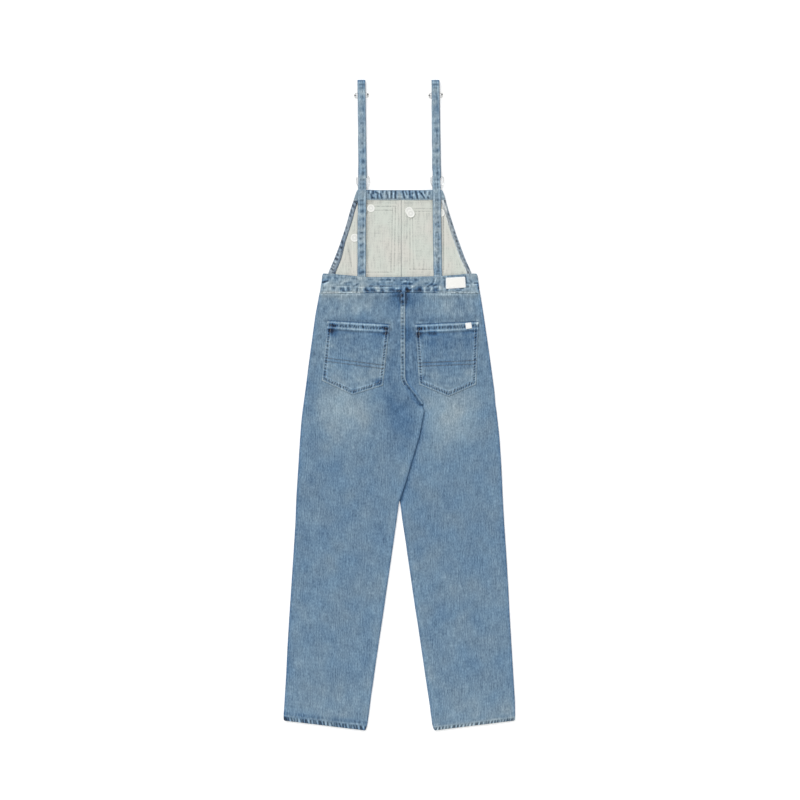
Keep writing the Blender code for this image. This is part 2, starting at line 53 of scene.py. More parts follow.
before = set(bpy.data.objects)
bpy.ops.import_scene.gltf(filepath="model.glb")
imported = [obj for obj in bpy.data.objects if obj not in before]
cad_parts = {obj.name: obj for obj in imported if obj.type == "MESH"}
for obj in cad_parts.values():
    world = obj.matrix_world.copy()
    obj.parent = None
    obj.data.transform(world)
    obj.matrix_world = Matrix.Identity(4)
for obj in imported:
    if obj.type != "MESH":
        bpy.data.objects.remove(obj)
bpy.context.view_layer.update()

MM = 0.001
SIDES = {"left": -1, "right": 1}

# Layers of cloth
GAP = 0.3                              # between pieces that meet or lie on each other
PLY, DOUBLE = 1.2, 2.0                 # of one layer and of two
TRIM = 1.0                             # ply of the seam strip, the label and the tab
CURL_STEPS = 6                         # points round each curled edge

# The flattened trousers
LEG_HEIGHT = 5.4
LEG_TOP = {"side": 268.5, "inner": 271.3}
LEG_FOOT = {"side": -755.0, "inner": -779.0}
OUTER_TRIM = {-1: 1.1, 1: 1.8}         # how far the worn outer edges on the left and the right are drawn in
OUTER_FROM = 100.0                     # from the middle, where an edge counts as an outer one
WAIST_RISE = 1.5                       # of the cloth where it goes under the waistband
RISE_Y = (246.0, 266.0)                # where that starts and ends
TUCK, TUCK_FADE = 0.8, 14.0            # how far the legs reach under the waistband, and over what height
LIFT, RISE, SINK = 3.0, 1.2, 2.7       # at the lap: left front up, left back up, right back down
LAP = ((-287.0, 0.0), (-232.0, 1.0), (2.0, 1.0), (17.0, 0.3), (32.5, 0.0))  # height, share of the full lap
LAP_NEAR, LAP_FAR = 4.0, 28.0          # from the other leg's edge, where the lap ends
FOLD_START = (2.0, -12.0)              # where the inner edges turn from the flat seat seam to folds
SEAM_WIDTH = 11.0                      # of the seat seam
SEAM_ROW = 4.0                         # from its middle to each of its rows of stitches
# How far each leg's inner edge lies beside its solid's, down the leg: height, shift across
INNER_SHIFT = {
    -1: ((-735, -0.9), (-695, -2.4), (-625, -2.8), (-480, -1.9), (-300, -1.7), (-230, -1.3), (-180, 0)),
    1: (
        (-766, -2.2), (-748, -0.4), (-725, 1.2), (-670, 1.6), (-520, 1.6), (-440, 0), (-375, 0.5),
        (-330, 0.6), (-290, 0), (-270, -1.8), (-250, -3.2), (-232, -4.6), (-215, -5), (-180, 0),
    ),
}

# Hems of the legs
HEM_DEPTH = 14.0
HEM_CORNER = 4.0
HEM_SPACING = 1.75                     # from one row of points to the next
# Depth of the ridges and height of the row of stitches, then shares of tone: how dark the cloth above is, how
# light the ridges, how dark the furrows, how light the row and how dark the ends
Hem = namedtuple("Hem", "ridged line dark light shade rail end")
HEMS = {
    "left": Hem(9.3, 12.6, 0.18, 0.26, 0.24, -0.05, 0.22),
    "right": Hem(6.0, 8.4, 0.0, 0.42, 0.26, 0.10, 0.04),
}

# Waistband
BAND_HEIGHT = 7.4                      # of its tube, above the surface
BAND_INSET = {"left": 0.3, "right": 1.4}   # of its ends from its solid's
BAND_CROWN = 0.3                       # how much lower its edges lie than its middle
END_RISE = 1.0                         # of the waistband's upper edge near its ends

# Back pockets
POCKET_HEM = 0.125                     # share of the pocket's height
POCKET_HEM_ROWS = (0.031, 0.117)       # of stitches, shares of the same height
POCKET_HEM_PLY = 1.7
POCKET_RINGS = (1.9, 8.5)              # from a pocket's edge to its two rows of stitches
# Upper and lower row across a pocket: share of its height at its left and right edge
POCKET_YOKE = {"left": ((0.6225, 0.676), (0.676, 0.733)), "right": ((0.643, 0.622), (0.70, 0.679))}
# Wear at the pockets' corners: pockets, corner, place beside it, reach, change of tone
POCKET_MARKS = (
    ("left right", "top_left", 9, -26, 8.5, -0.5), ("left right", "top_left", 9, -11, 6.5, -0.46),
    ("left", "top_right", -10, -23, 7.5, -0.42), ("left", "top_right", -9, -10, 7, -0.5),
    ("right", "top_right", -9, -21, 5, -0.26), ("right", "top_right", -11, -9, 5, -0.1),
    ("right", "top_left", 30, -90, 22, -0.05), ("left", "foot_right", -10, 9, 8, -0.5),
    ("left right", "foot_left", 7, 16, 7, -0.28), ("left", "point", 0, 10, 6, -0.2),
    ("left right", "top_left", 40, -40, 26, -0.05), ("left right", "top_right", -30, -36, 22, -0.05),
    ("right", "top_left", 36, -21, 5, -0.24), ("right", "top_left", 48, -21, 6, -0.24),
    ("left", "top_left", 18, -13, 4.5, -0.3), ("right", "top_right", -10, -40, 5, -0.3),
    ("right", "top_right", -4, -6, 4, 0.4), ("left", "top_left", 12, -56, 9, 0.12),
    ("right", "foot_right", -14, 20, 16, 0.05),
)

LABEL_OVER = 0.6                       # of the waistband's label beyond its solid
LABEL_DROP = 0.5                       # of the same label under its solid
LABEL_WEAVE = 0.0007                   # metres from one line of its weave to the next
TAB_CORNERS = ((157.2, 197.5), (171.8, 199), (173.8, 185), (159.6, 182.9))

# Bib
BIB_SEAM = 4.8                         # place across
BIB_FOOT, FACING_FOOT, BIB_TOP = 302.3, 492.6, 516.5
POCKET_LAYER, BUTTON_LAYER = PLY + GAP, 4.8    # heights of the bib over its pockets and over its buttons
BUTTON_REACH = 14.0                    # to each side of a button, where the bib lies full height over it
BUTTON_SLOPE = (16.0, 9.7)             # across and down, over which the bib comes down from there
# Tone of a turned edge, how dark it is beside its inner edge (a painted shadow of the fold) and how light
# along it
BibHem = namedtuple("BibHem", "tone dark light")
BIB_HEMS = {"left": BibHem(0.66, 0.42, 0.0), "right": BibHem(0.69, 0.0, 0.45)}
# Outer pockets: height, left edge and right edge
BIB_POCKETS = {
    "left": ((320, -110.4, -13.4), (397, -110.4, -11), (478, -69.6, -8.8)),
    "right": ((325, 23.8, 107), (397, 24.4, 107), (472, 24.8, 106.4)),
}
# Painted light and shade of unsewn folds, and other marks, on the bib's wrong side: ends and change of tone
# A dark line beside the right strap among them is partly a painted shadow of the strap
BIB_FOLD_LIGHT_AND_MARKS = (
    ((-22.8, 470), (-22.8, 330), -0.05), ((-2.4, 480), (-2.4, 325), -0.05), ((17.6, 456), (17.6, 400), -0.1),
    ((24.5, 440), (41, 335), 0.07), ((109.2, 450), (109.2, 320), 0.2), ((104.6, 470), (104.6, 320), -0.16),
    ((-127, 397), (-122, 370), -0.12), ((-122, 370), (-115, 333), -0.16), ((-120, 326), (-116, 318), -0.12),
    ((-112, 396), (-111, 333), 0.6), ((-103, 392), (-103, 326), 0.3), ((-60, 455), (-62, 340), -0.04),
    ((60, 455), (58, 345), -0.04), ((-100, 486), (100, 486), -0.07),
)
# Lines on the bib that sew its outer pockets on: both ends
BIB_LINES = (
    ((-17, 474), (-20, 322)), ((-9.4, 478), (-12.6, 320)), ((-69, 478), (-9.4, 478)),
    ((-66, 468.5), (-17, 468.5)), ((-109.8, 320), (-12.6, 320)), ((-110, 400), (-109.8, 320)),
    ((-103.6, 392), (-103.6, 322)), ((-110, 400), (-69, 478)), ((25.4, 470), (25, 327)),
    ((30.4, 470), (34, 327)), ((25.4, 472), (106, 472)), ((30.4, 466.4), (100, 466.4)),
    ((25, 327), (106.6, 327)), ((106, 472), (106.6, 327)), ((100, 466), (100.6, 330)),
)

# Furrows and rubbed ridges of the bib's facing and of its turned edges: both ends, reach, and change of tone
FACING_WEAR = (
    (-73.7, 514.8, -73.7, 509, 1.9, -0.6), (-63.4, 514.8, -63.4, 508.1, 2.1, -0.85),
    (-68.4, 506.2, -65.5, 498, 1.8, -0.7), (-65.5, 497.5, -61.2, 497.5, 2.2, -0.6),
    (-57.8, 512.4, -50.6, 507.6, 1.9, -0.75), (-52.3, 504.2, -52.1, 497.5, 2, -0.7),
    (-40.3, 514.3, -40.3, 511.4, 2, -0.7), (-45.4, 507.6, -42, 497.5, 1.8, -0.8),
    (-31.2, 512.9, -31.2, 507.6, 1.9, -0.6), (-28.6, 505.2, -28.1, 498, 2.1, -0.55),
    (-19.2, 514.3, -19.2, 507.6, 2, -0.65), (-19.2, 506.2, -19.2, 498, 2.3, -0.6),
    (-9.4, 512.9, -9.4, 508.6, 2.3, -0.85), (-10.3, 505.2, -9.6, 497.5, 2.2, -0.8),
    (-1.2, 512.4, 8.4, 511, 2.4, -0.15), (7.9, 514.3, 12.2, 497, 1.7, -0.85),
    (14.4, 513.8, 18, 505.2, 1.6, -0.6), (24.2, 515.3, 24.5, 506.6, 2.1, -0.7),
    (25.2, 505.2, 25.2, 498, 2, -0.55), (30, 499.4, 31, 497, 2.3, -0.8), (31, 510, 31.4, 507.6, 2, -0.5),
    (39.1, 512.9, 43.2, 497.5, 2.1, -0.9), (48.2, 512.4, 52.6, 508.1, 2.2, -0.6),
    (52.6, 508.1, 59.8, 497.5, 1.6, -0.75), (61, 513.8, 61, 507.6, 1.8, -0.6),
    (72, 511, 72, 506.6, 2.2, -0.45), (67.9, 499, 69.4, 497, 2, -0.7),
    (-69.8, 513.4, -69.8, 505.2, 1.2, 0.25), (-48.5, 513.8, -48.5, 502.8, 1.3, 0.25),
    (-35.8, 512.4, -35.5, 498, 1.4, 0.2), (-24.5, 512.4, -24.5, 498, 1.3, 0.35),
    (-14.4, 509, -14.4, 498, 1.3, 0.35), (-6, 500.4, 6, 499.9, 1.3, 0.2), (11, 511.4, 18.5, 498, 1.2, 0.25),
    (20.4, 511, 20.4, 500.4, 1.1, 0.25), (34.3, 506.2, 34.3, 499.4, 1.6, 0.3),
    (45.8, 508.6, 46.3, 498, 1.3, 0.3), (55.7, 511.4, 63.1, 498, 1.2, 0.3), (67, 512.9, 67, 505.2, 1.4, 0.2),
)
BIB_HEM_WEAR = {
    "left": (
        # The first row of the left edge is a painted shadow of the fold beside its inner side
        (-135.4, 394, -138.4, 371, 2, -0.4), (-106.8, 488.4, -102, 484.8, 2.6, -0.9),
        (-112.8, 481.2, -109.2, 476.4, 2.4, -0.8), (-104.4, 477.6, -102, 474, 1.8, -0.5),
        (-115.7, 469.2, -114, 462, 1.6, -0.6), (-118.8, 458.4, -116.9, 453.6, 1.8, -0.8),
        (-122.4, 445.2, -120, 441.6, 1.6, -0.3), (-128.4, 428.4, -126, 423.6, 1.7, -0.45),
        (-132.7, 414, -131.3, 410.4, 2, -0.8), (-136.1, 404.4, -134.4, 400.8, 1.6, -0.5),
        (-139.2, 396, -137.3, 390, 1.9, -0.8), (-142.8, 381.6, -139.7, 378, 2.2, -0.9),
        (-146.9, 370.8, -145.2, 368.4, 1.6, -0.4), (-150, 363.6, -147.6, 360, 1.9, -0.85),
        (-154.3, 352.8, -148.8, 350.4, 2.1, -0.95), (-159.1, 343.2, -154.8, 338.4, 1.5, -0.8),
        (-162, 336, -157.2, 331.2, 1.3, -0.8), (-163.2, 328.8, -157.7, 324, 1.3, -0.8),
        (-160.8, 320.4, -157.2, 318.5, 1.6, -0.6), (-148.8, 357.4, -147.6, 355.4, 1.8, 0.25),
        (-158.4, 346.1, -152.4, 343.2, 1.1, 0.5), (-159.6, 337.7, -154.8, 334.8, 1, 0.5),
        (-162.7, 331.9, -157.2, 328.1, 1, 0.5), (-164.9, 324.7, -159.6, 320.4, 1.1, 0.45),
        (-141.6, 386.4, -139.2, 382.8, 1.5, 0.3), (-108, 500.4, -106.8, 493.2, 2.2, 0.3),
    ),
    "right": (
        (104.4, 510, 104.9, 505.2, 2, -0.4), (108, 494.4, 109.7, 489.6, 2, -0.6),
        (115.2, 468.7, 115.4, 466.8, 1.6, -0.35), (117.4, 459.6, 118.6, 454.8, 1.7, -0.5),
        (120, 448.6, 120.7, 446.2, 1.6, -0.4), (122.4, 442.1, 123.1, 440.4, 1.6, -0.3),
        (124.6, 436.8, 125.8, 433.2, 1.8, -0.6), (126.7, 427.9, 127.4, 426, 1.6, -0.35),
        (130.8, 415.4, 131.8, 412.8, 1.7, -0.5), (133.2, 405.6, 135.1, 402, 1.7, -0.5),
        (136.3, 396, 138, 392.4, 1.9, -0.7), (139.4, 387.6, 140.6, 385.7, 1.6, -0.35),
        (142.6, 379.2, 144.2, 375.6, 1.9, -0.7), (145.2, 368.4, 146.6, 364.8, 1.8, -0.5),
        (150, 360, 151.4, 356.4, 1.7, -0.45), (153.6, 351.6, 156, 346.8, 1.7, -0.4),
        (157.2, 342, 158.6, 338.4, 1.6, -0.35), (162, 334.8, 166.8, 327.6, 2.2, -0.65),
        (163.9, 321.4, 164.9, 319, 2, -0.5), (103.2, 488.4, 112.8, 466.8, 3, 0.35),
        (100.8, 502.8, 104.4, 488.4, 2.6, 0.22), (114, 440.4, 147.6, 344.4, 1.6, -0.18),
    ),
}

# Tone of each piece of cloth before its wear
TONE = {
    "leg": 0.475, "seat_seam": 0.50, "waistband_back": 0.525, "waistband_front": 0.53, "pocket_left": 0.42,
    "pocket_right": 0.38, "bib": 0.49, "bib_pocket": 0.5, "facing": 0.675, "strap": 0.715,
}
# Finish of the other side of a piece of cloth
OTHER_SIDE = {"denim": "denim_inside", "worn_denim": "denim_inside", "denim_inside": "denim"}
NARROW = 12.0                          # width under which a mark mostly darkens or lightens the dye
LIGHT_SHARE, DARK_SHARE = 0.5, 0.2     # of a light or dark narrow mark that changes the colour as well
SHADE_DEPTH = 2.6
GRAIN_APART = (370.0, 100.0)           # between the stretches of weave that the pieces show
HEM_GREYNESS = 0.42                    # of the bib's turned edges against the rest of the denim
WEAVE_DEPTH = 0.00025                  # metres

# Straps
STRAP_WIDTH = 20.2
STRAP_NARROW = 1.3                     # how much narrower they are above the bib
STRAP_PLY = 1.8
TOP_FOLD = 780.8
BUCKLE_BAR = 549.0
# A strap's run up the garment, down under it and back to the slider: place along, height of its middle
UPPER_RUN = (
    (274, 4.2), (360, 4.2), (385, 5.1), (476, 5.1), (494, 8.75), (521, 8.75), (539, 7.9), (556, 7.9),
    (579, 5.2), (715, 5.2), (735, 6.8), (757, 6.8), (777, 6.6),
)
UNDER_RUN = ((777, 0.9), (772, 0.9), (755, 2.4), (735, 2.4), (715, 0.9), (549, 0.9))
RETURN_RUN = ((549, 5.7), (556, 5.7), (579, 3), (715, 3), (735, 4.5), (741.8, 4.5))
BUCKLE_X = {"left": -87.8, "right": 90.2}
# Middle of each strap: height of the place, place across
STRAP_BEND = {"left": ((274, -90.5), (430, -90.5), (525, -89.3), (650, -89.7), (710, -90.5), (781, -91.3)),
              "right": ((274, 92.2), (400, 90.7), (525, 88.6), (640, 87.3), (710, 86.7), (781, 86.4))}
# Worn and roped marks down the straps: place from the middle, height, reach across and up, change of tone
STRAP_WEAR = (
    (0, 778, 14, 2, -0.34), (0, 768.6, 12, 2.5, -0.7), (0, 766.4, 3, 1.4, 0.3), (0, 760.8, 7, 1.6, -0.5),
    (6.5, 706, 3.4, 26, -0.24), (-8, 324, 3, 9, -0.4), (3, 739, 2.4, 5, -0.54), (-3, 739, 2.2, 4, -0.24),
    (3, 712, 2.6, 11, -0.34), (-3, 711, 2.6, 11, -0.32), (2, 703, 5, 1.4, 0.24), (-1.5, 692, 1.8, 9, -0.16),
    (-1, 677, 3.6, 2.4, -0.38), (2, 659, 3.2, 6, -0.65), (3, 648, 2.4, 5, -0.43), (1, 628, 3, 3, -0.57),
    (3, 610, 2.8, 4.5, -0.69), (-3, 608, 2.4, 2.4, -0.39), (2.5, 585, 3.2, 4.6, -0.75),
    (3, 568, 3.5, 2.2, -0.36), (2.4, 557, 3.2, 4.4, -0.69), (-8, 560, 2, 12, -0.39),
    (3.4, 541, 2.4, 2.4, -0.6), (-3.4, 541, 2.4, 2.4, -0.54), (3.4, 530, 2.4, 2.4, -0.54),
    (-3.4, 530, 2.2, 2.6, -0.51), (3.4, 522, 2.2, 2.2, -0.45), (-3.4, 522, 2.2, 2.2, -0.45),
)
LOW_STRAP_WEAR = {
    "left": (
        (-1, 491, 4.5, 2, -0.51), (-1, 482, 4.5, 2.2, -0.51), (2, 466, 3.4, 4.4, -0.57),
        (-3, 465, 2.4, 4.2, -0.33), (4, 447, 2.6, 4.2, -0.51), (-4.6, 446, 2.4, 4, -0.39),
        (4, 430, 2.4, 5, -0.63), (-2.6, 429, 2.2, 3, -0.33), (0, 414, 4.6, 2, -0.57),
        (-2.8, 400, 2.6, 3, -0.57), (3.6, 403, 2.2, 2.4, -0.39), (3, 387, 2.4, 3, -0.48),
        (-2.6, 384, 3.2, 3, -0.54), (3.2, 368, 3, 4, -0.57), (-2.4, 367, 2.6, 4, -0.54),
        (-1, 357, 3.6, 3, -0.51), (3.4, 338, 2.4, 3, -0.45), (-1, 336, 3, 3, -0.39),
        (4, 320, 3.2, 3.4, -0.99), (-2.4, 318, 3.2, 3.6, -0.75),
    ),
    "right": (
        (1.4, 492, 4.5, 2.2, -0.38), (-6.2, 473, 2, 3, -0.25), (1, 474, 3.4, 2, -0.3),
        (-1.4, 460, 2.6, 2.4, -0.25), (1.9, 450, 2.6, 2.6, -0.3), (2.9, 439, 2.6, 2.2, -0.55),
        (-2.9, 434, 2, 3, -0.35), (3.1, 429, 2.6, 2.6, -0.5), (-0.5, 415, 4.4, 1.8, -0.42),
        (2.9, 398, 4, 1.9, -0.48), (0.7, 388, 2.4, 3, -0.25), (1.9, 375, 4, 2.2, -0.35),
        (-2.9, 359, 2.2, 3.2, -0.5), (3.8, 352, 2.6, 3, -0.55), (0.5, 343, 2.4, 2.4, -0.3),
        (1.9, 331, 3.6, 4.5, -0.4), (0.7, 322, 4, 3.4, -0.55), (-0.5, 315, 6.5, 1.6, -0.5),
        (-1.9, 485, 3, 2, -0.2), (-2.4, 407, 2, 2, -0.2),
    ),
}

# Soft creases: both ends, reach to each side, and height
CREASES = (
    (46, -6, -30, -44, 9, -0.9), (38, -20, -22, -78, 11, 0.8), (50, 6, 100, -22, 9, -0.8),
    (56, -4, 118, -66, 12, 0.7), (30, 14, -18, 10, 7, -0.6), (34, 34, 66, 26, 7, 0.5),
    (-20, 232, -58, 214, 8, -0.5), (30, 240, 72, 222, 8, -0.5), (-70, 8, -150, -30, 15, 0.6),
    (-190, 20, -214, -90, 16, 0.7), (196, 40, 214, -70, 15, 0.6), (100, -10, 170, -50, 14, -0.5),
    (-232, -310, -150, -334, 16, 0.6), (-226, -352, -120, -362, 14, -0.6), (-60, -318, -130, -342, 14, 0.5),
    (236, -300, 150, -322, 15, 0.6), (240, -356, 140, -366, 14, -0.6), (60, -330, 128, -344, 13, 0.5),
    (-240, -560, -190, -640, 14, 0.6), (-90, -590, -128, -690, 15, -0.6), (236, -570, 196, -660, 14, 0.5),
    (96, -600, 132, -700, 14, -0.6), (-170, -470, -186, -560, 18, 0.5), (180, -440, 170, -540, 18, 0.5),
)

# Fades of the trousers: place, reach across and up, and change of tone, lighter above 0 and darker below
FADES = (
    (-138, -14, 56, 64, 0.19), (-100, -10, 44, 34, 0.07), (124, -26, 60, 70, 0.2), (92, 6, 34, 26, 0.08),
    (-112, 234, 62, 18, 0.1), (112, 234, 66, 18, 0.09), (-6, 256, 20, 28, -0.23), (26, 254, 20, 28, -0.18),
    (16, -34, 36, 62, -0.17), (-14, 130, 20, 100, -0.1), (32, 130, 20, 100, -0.14), (-212, 20, 12, 90, -0.06),
    (-190, -724, 120, 36, 0.05), (168, -740, 120, 40, 0.075), (188, -668, 24, 20, -0.03),
    (-110, -590, 60, 60, -0.02), (22, 168, 3, 40, -0.1), (27, 170, 2.5, 44, 0.08), (37, 160, 4, 50, -0.1),
    (-40, 170, 8, 40, -0.06), (-26, 60, 8, 40, -0.06), (-34, -20, 22, 40, -0.07),
)
# Rows across the top of the legs under the waistband: height, reach and change of tone
# The first row is partly painted light that lifts the shade at the waistband's foot
BAND_LINES = ((268.4, 2.8, 0.60), (259.0, 8.0, 0.06))
# How light the rail along the waistband's lower seam is: place across and share
BAND_RAIL = (
    (-96, 1), (-86, 0.1), (-58, 0.1), (-48, 0.4), (-15, 0.25), (0, 0), (45, 0), (58, 0.5), (76, 0.5),
    (84, 0.2), (92, 0.9), (106, 1),
)
# Fades of the waistband, as those of the trousers
BAND_WEAR = (
    (-150, 292, 40, 14, 0.08), (-92, 290, 11, 20, 0.1), (150, 292, 40, 14, 0.08), (0, 292, 30, 16, -0.06),
    (-178, 288, 12, 20, 0.05), (26, 276, 34, 10, -0.12), (17, 296, 20, 6, -0.1),
)
# Puckers and furrows of the waistband: both ends, reach, and change of tone (darker, deeper below 0)
BAND_CREASES = (
    (-184, 313, -184, 301, 1.9, -0.28), (-182, 315, -172, 314, 1.4, -0.22),
    (-169, 312, -128, 312, 1.7, -0.16), (-128, 311, -102, 310, 1.7, -0.12),
    (-171, 307, -169, 307, 3.6, -0.26), (-154, 306, -148, 304, 2.4, -0.28),
    (-139, 306, -137, 305, 2.9, -0.24), (-131, 307, -129, 307, 1.9, -0.16),
    (-113, 305, -108, 305, 2.6, -0.34), (-103, 307, -103, 303, 1.4, -0.26), (-184, 295, -179, 296, 2.2, -0.6),
    (-179, 296, -173, 298, 1.9, -0.45), (-181, 291, -170, 296, 1.9, 0.24), (-168, 300, -162, 300, 1.9, 0.14),
    (-160, 294, -159, 294, 2.6, -0.18), (-144, 294, -140, 299, 2.2, -0.16), (-140, 292, -132, 297, 2.2, 0.14),
    (-132, 293, -116, 295, 1.9, -0.24), (-150, 288, -119, 288, 1.7, -0.2), (-109, 286, -103, 289, 2.2, -0.34),
    (-103, 289, -98, 292, 1.9, -0.28), (-178, 288, -160, 288, 2.2, 0.12), (-150, 285, -128, 285, 1.9, 0.16),
    (-181, 281, -179, 281, 3.1, -0.26), (-159, 282, -156, 281, 3.1, -0.46),
    (-140, 280, -134, 279, 3.8, -0.58), (-136, 275, -132, 274, 2.4, -0.44),
    (-123, 281, -122, 279, 3.6, -0.52), (-126, 274, -115, 274, 1.4, -0.26),
    (-102, 280, -102, 273, 2.6, -0.48), (-129, 282, -129, 276, 1.4, 0.24), (-111, 276, -109, 276, 2.9, 0.2),
    (-164, 274, -152, 274, 1.2, 0.2), (-164, 271, -148, 271, 1.2, -0.2), (-164, 269, -149, 269, 1.4, 0.26),
    (-136, 271, -115, 271, 1.2, 0.2), (-138, 269, -115, 269, 1.2, -0.3), (-140, 267, -114, 266, 1.2, 0.16),
    (-95, 310, -86, 310, 1.7, -0.3), (-97, 305, -83, 304, 3.8, 0.16), (-80, 298, -78, 296, 2.6, -0.18),
    (-94, 298, -92, 294, 2.6, -0.14), (-98, 283, -84, 283, 1.7, 0.26), (-59, 308, 1, 308, 1.7, -0.16),
    (-74, 302, -64, 302, 1.4, -0.18), (-46, 301, -38, 301, 1.9, -0.36), (-31, 301, -22, 301, 2.2, -0.44),
    (-14, 300, -12, 300, 2.2, -0.42), (4, 300, 6, 300, 2.2, -0.4), (-56, 298, -47, 297, 1.9, 0.16),
    (-32, 297, -17, 298, 1.7, 0.14), (-53, 291, -49, 291, 1.9, -0.18), (-72, 286, -65, 286, 1.9, -0.5),
    (-56, 286, -54, 286, 1.4, -0.24), (-46, 286, -41, 286, 1.9, -0.54), (-40, 286, -19, 286, 1.4, -0.36),
    (-64, 283, -49, 282, 1.7, 0.26), (-40, 282, -20, 283, 1.4, 0.16), (-8, 281, -2, 281, 1.7, 0.34),
    (-81, 278, -76, 274, 4.1, -0.8), (-67, 277, -61, 275, 4.3, -0.66), (-42, 278, -40, 274, 3.6, -0.58),
    (-22, 278, -14, 275, 4.6, -0.52), (-5, 275, 1, 275, 3.6, -0.66), (-58, 272, -32, 271, 1.4, -0.32),
    (-52, 274, -48, 275, 1.9, 0.28), (-35, 274, -28, 274, 1.9, 0.24), (-74, 267, -57, 267, 1.2, -0.4),
    (-79, 270, -79, 265, 1.4, -0.34), (-84, 269, -84, 266, 1.2, -0.22), (4, 306, 23, 305, 2.4, -0.24),
    (36, 303, 44, 301, 2.2, -0.26), (16, 302, 19, 300, 2.2, -0.34), (37, 300, 40, 300, 2.2, -0.3),
    (6, 294, 15, 298, 1.9, 0.2), (11, 293, 16, 293, 2.2, -0.24), (24, 291, 30, 292, 2.4, -0.34),
    (31, 286, 35, 286, 1.9, 0.3), (24, 279, 31, 284, 1.9, 0.28), (12, 282, 12, 279, 1.7, 0.26),
    (17, 280, 19, 274, 4.3, -0.86), (22, 275, 26, 277, 2.9, -0.6), (30, 277, 31, 273, 1.7, 0.24),
    (36, 276, 36, 273, 1.9, -0.42), (42, 275, 49, 280, 4.6, -0.45), (48, 274, 55, 275, 3.4, -0.45),
    (60, 282, 60, 272, 1.9, 0.26), (66, 276, 71, 277, 3.6, -0.42), (75, 276, 78, 283, 1.9, 0.3),
    (62, 293, 68, 293, 1.7, -0.36), (67, 285, 77, 291, 2.2, -0.44), (62, 283, 70, 290, 1.7, 0.18),
    (81, 286, 88, 289, 2.2, -0.6), (79, 290, 83, 302, 1.9, -0.38), (83, 293, 88, 305, 2.2, 0.22),
    (92, 306, 95, 306, 2.4, -0.24), (96, 298, 92, 292, 2.2, -0.25), (83, 284, 92, 284, 1.4, 0.22),
    (96, 285, 96, 277, 2.2, 0.3), (72, 284, 75, 284, 1.4, 0.28), (84, 277, 90, 279, 4.8, -0.62),
    (82, 271, 85, 271, 2.2, -0.3), (90, 274, 101, 274, 1.7, -0.3), (102, 269, 112, 269, 1.4, -0.36),
    (97, 267, 116, 266, 1.2, 0.22), (108, 298, 108, 284, 1.7, -0.46), (105, 306, 107, 305, 2.6, -0.4),
    (116, 311, 154, 312, 2.9, -0.2), (158, 310, 161, 294, 1.9, -0.46), (162, 285, 164, 285, 2.6, -0.62),
    (180, 293, 188, 293, 1.7, -0.6), (176, 290, 186, 290, 1.7, 0.22), (167, 302, 173, 295, 1.7, -0.24),
    (161, 293, 168, 293, 1.7, -0.26), (188, 288, 190, 281, 2.2, -0.56), (190, 281, 192, 272, 2.2, -0.5),
    (186, 314, 187, 301, 1.7, -0.24), (114, 279, 116, 279, 1.9, -0.62), (112, 274, 114, 274, 1.9, -0.34),
    (133, 280, 135, 281, 2.4, -0.44), (146, 281, 152, 281, 2.2, -0.84), (137, 276, 147, 276, 1.7, -0.48),
    (136, 271, 141, 271, 1.7, -0.4), (138, 274, 148, 274, 1.4, 0.18), (136, 269, 138, 269, 1.9, 0.24),
    (182, 269, 185, 269, 2.2, -0.36), (6, 297.6, 30, 296.6, 2, 0.3), (8, 291, 28, 290.6, 2, -0.26),
    (4, 287, 5, 268, 3.2, -0.3), (-184, 296, -172, 299, 2.8, -0.26), (-172, 299, -150, 300, 2.6, -0.2),
)
# Smaller creases and rubbed places of the legs: both ends, reach, and change of tone
LEG_CREASES = (
    (15, 186, 15, 155, 1.7, -0.26), (17, 82, 16, 54, 2.4, -0.24), (15, 270, 16, 244, 2.2, -0.12),
    (19, 260, 18, 253, 2.2, -0.2), (-3, 227, -3, 208, 1.7, -0.14), (-3, 196, -3, 186, 1.9, -0.18),
    (-22, 264, -1, 264, 2.2, -0.3), (24, 42, 34, 30, 2.2, -0.3), (32, 15, 40, 16, 1.7, -0.16),
    (20, 18, 22, 17, 2.4, -0.2), (44, 7, 49, 7, 4.8, -0.16), (31, 204, 36, 181, 3.1, 0.16),
    (40, 200, 61, 197, 2.9, 0.14), (-18, 203, -14, 184, 3.4, 0.14), (-56, 199, -28, 197, 2.9, 0.12),
    (33, 185, 34, 181, 2.2, -0.28), (-21, 188, -21, 181, 2.2, -0.2), (-8, 198, -23, 172, 5.3, -0.06),
    (23, 181, 40, 133, 5.8, -0.12), (32, 124, 37, 80, 3.4, -0.1), (20, 157, 30, 80, 3.8, 0.08),
    (11, 1, -8, -13, 5.8, -0.1), (-52, 256, -61, 222, 8, -0.1), (-78, 253, -104, 222, 11, 0.09),
    (-176, 212, -176, 211, 5, 0.24), (-24, 192, -24, 190, 5, 0.28), (138, 258, 167, 212, 7, -0.12),
    (66, 260, 109, 246, 12, 0.05), (187, 203, 187, 198, 4.5, 0.24), (37, 162, 36, 140, 4, 0.18),
    (35, 133, 35, 100, 5, 0.1), (-40, 35, -23, 1, 8, -0.08), (-4, 253, -2, 222, 6, 0.08),
    (-152, 208, -44, 199, 5.5, -0.12), (52, 204, 150, 209, 5.5, -0.11), (-126, 30, -114, 13, 8, 0.05),
    (104, 253, 121, 210, 9, 0.05), (97, 269, 121, 269, 3, 0.16), (-109, 11, -104, -20, 9, -0.06),
    (-112, 258, -104, 254, 5, 0.12), (14, 121, 18, 104, 8, -0.1), (-14, 50, -4, 34, 9, -0.08),
    (-44, 24, -14, 8, 8, -0.06),
)
# Painted shade along the edge where the left leg begins to lap over the right one
BEND_SHADE_LINES = ((10, 59, 23, 41, 2.8, -0.34), (23, 41, 37, 24, 2.8, -0.34), (37, 24, 52, 1, 2.8, -0.34))
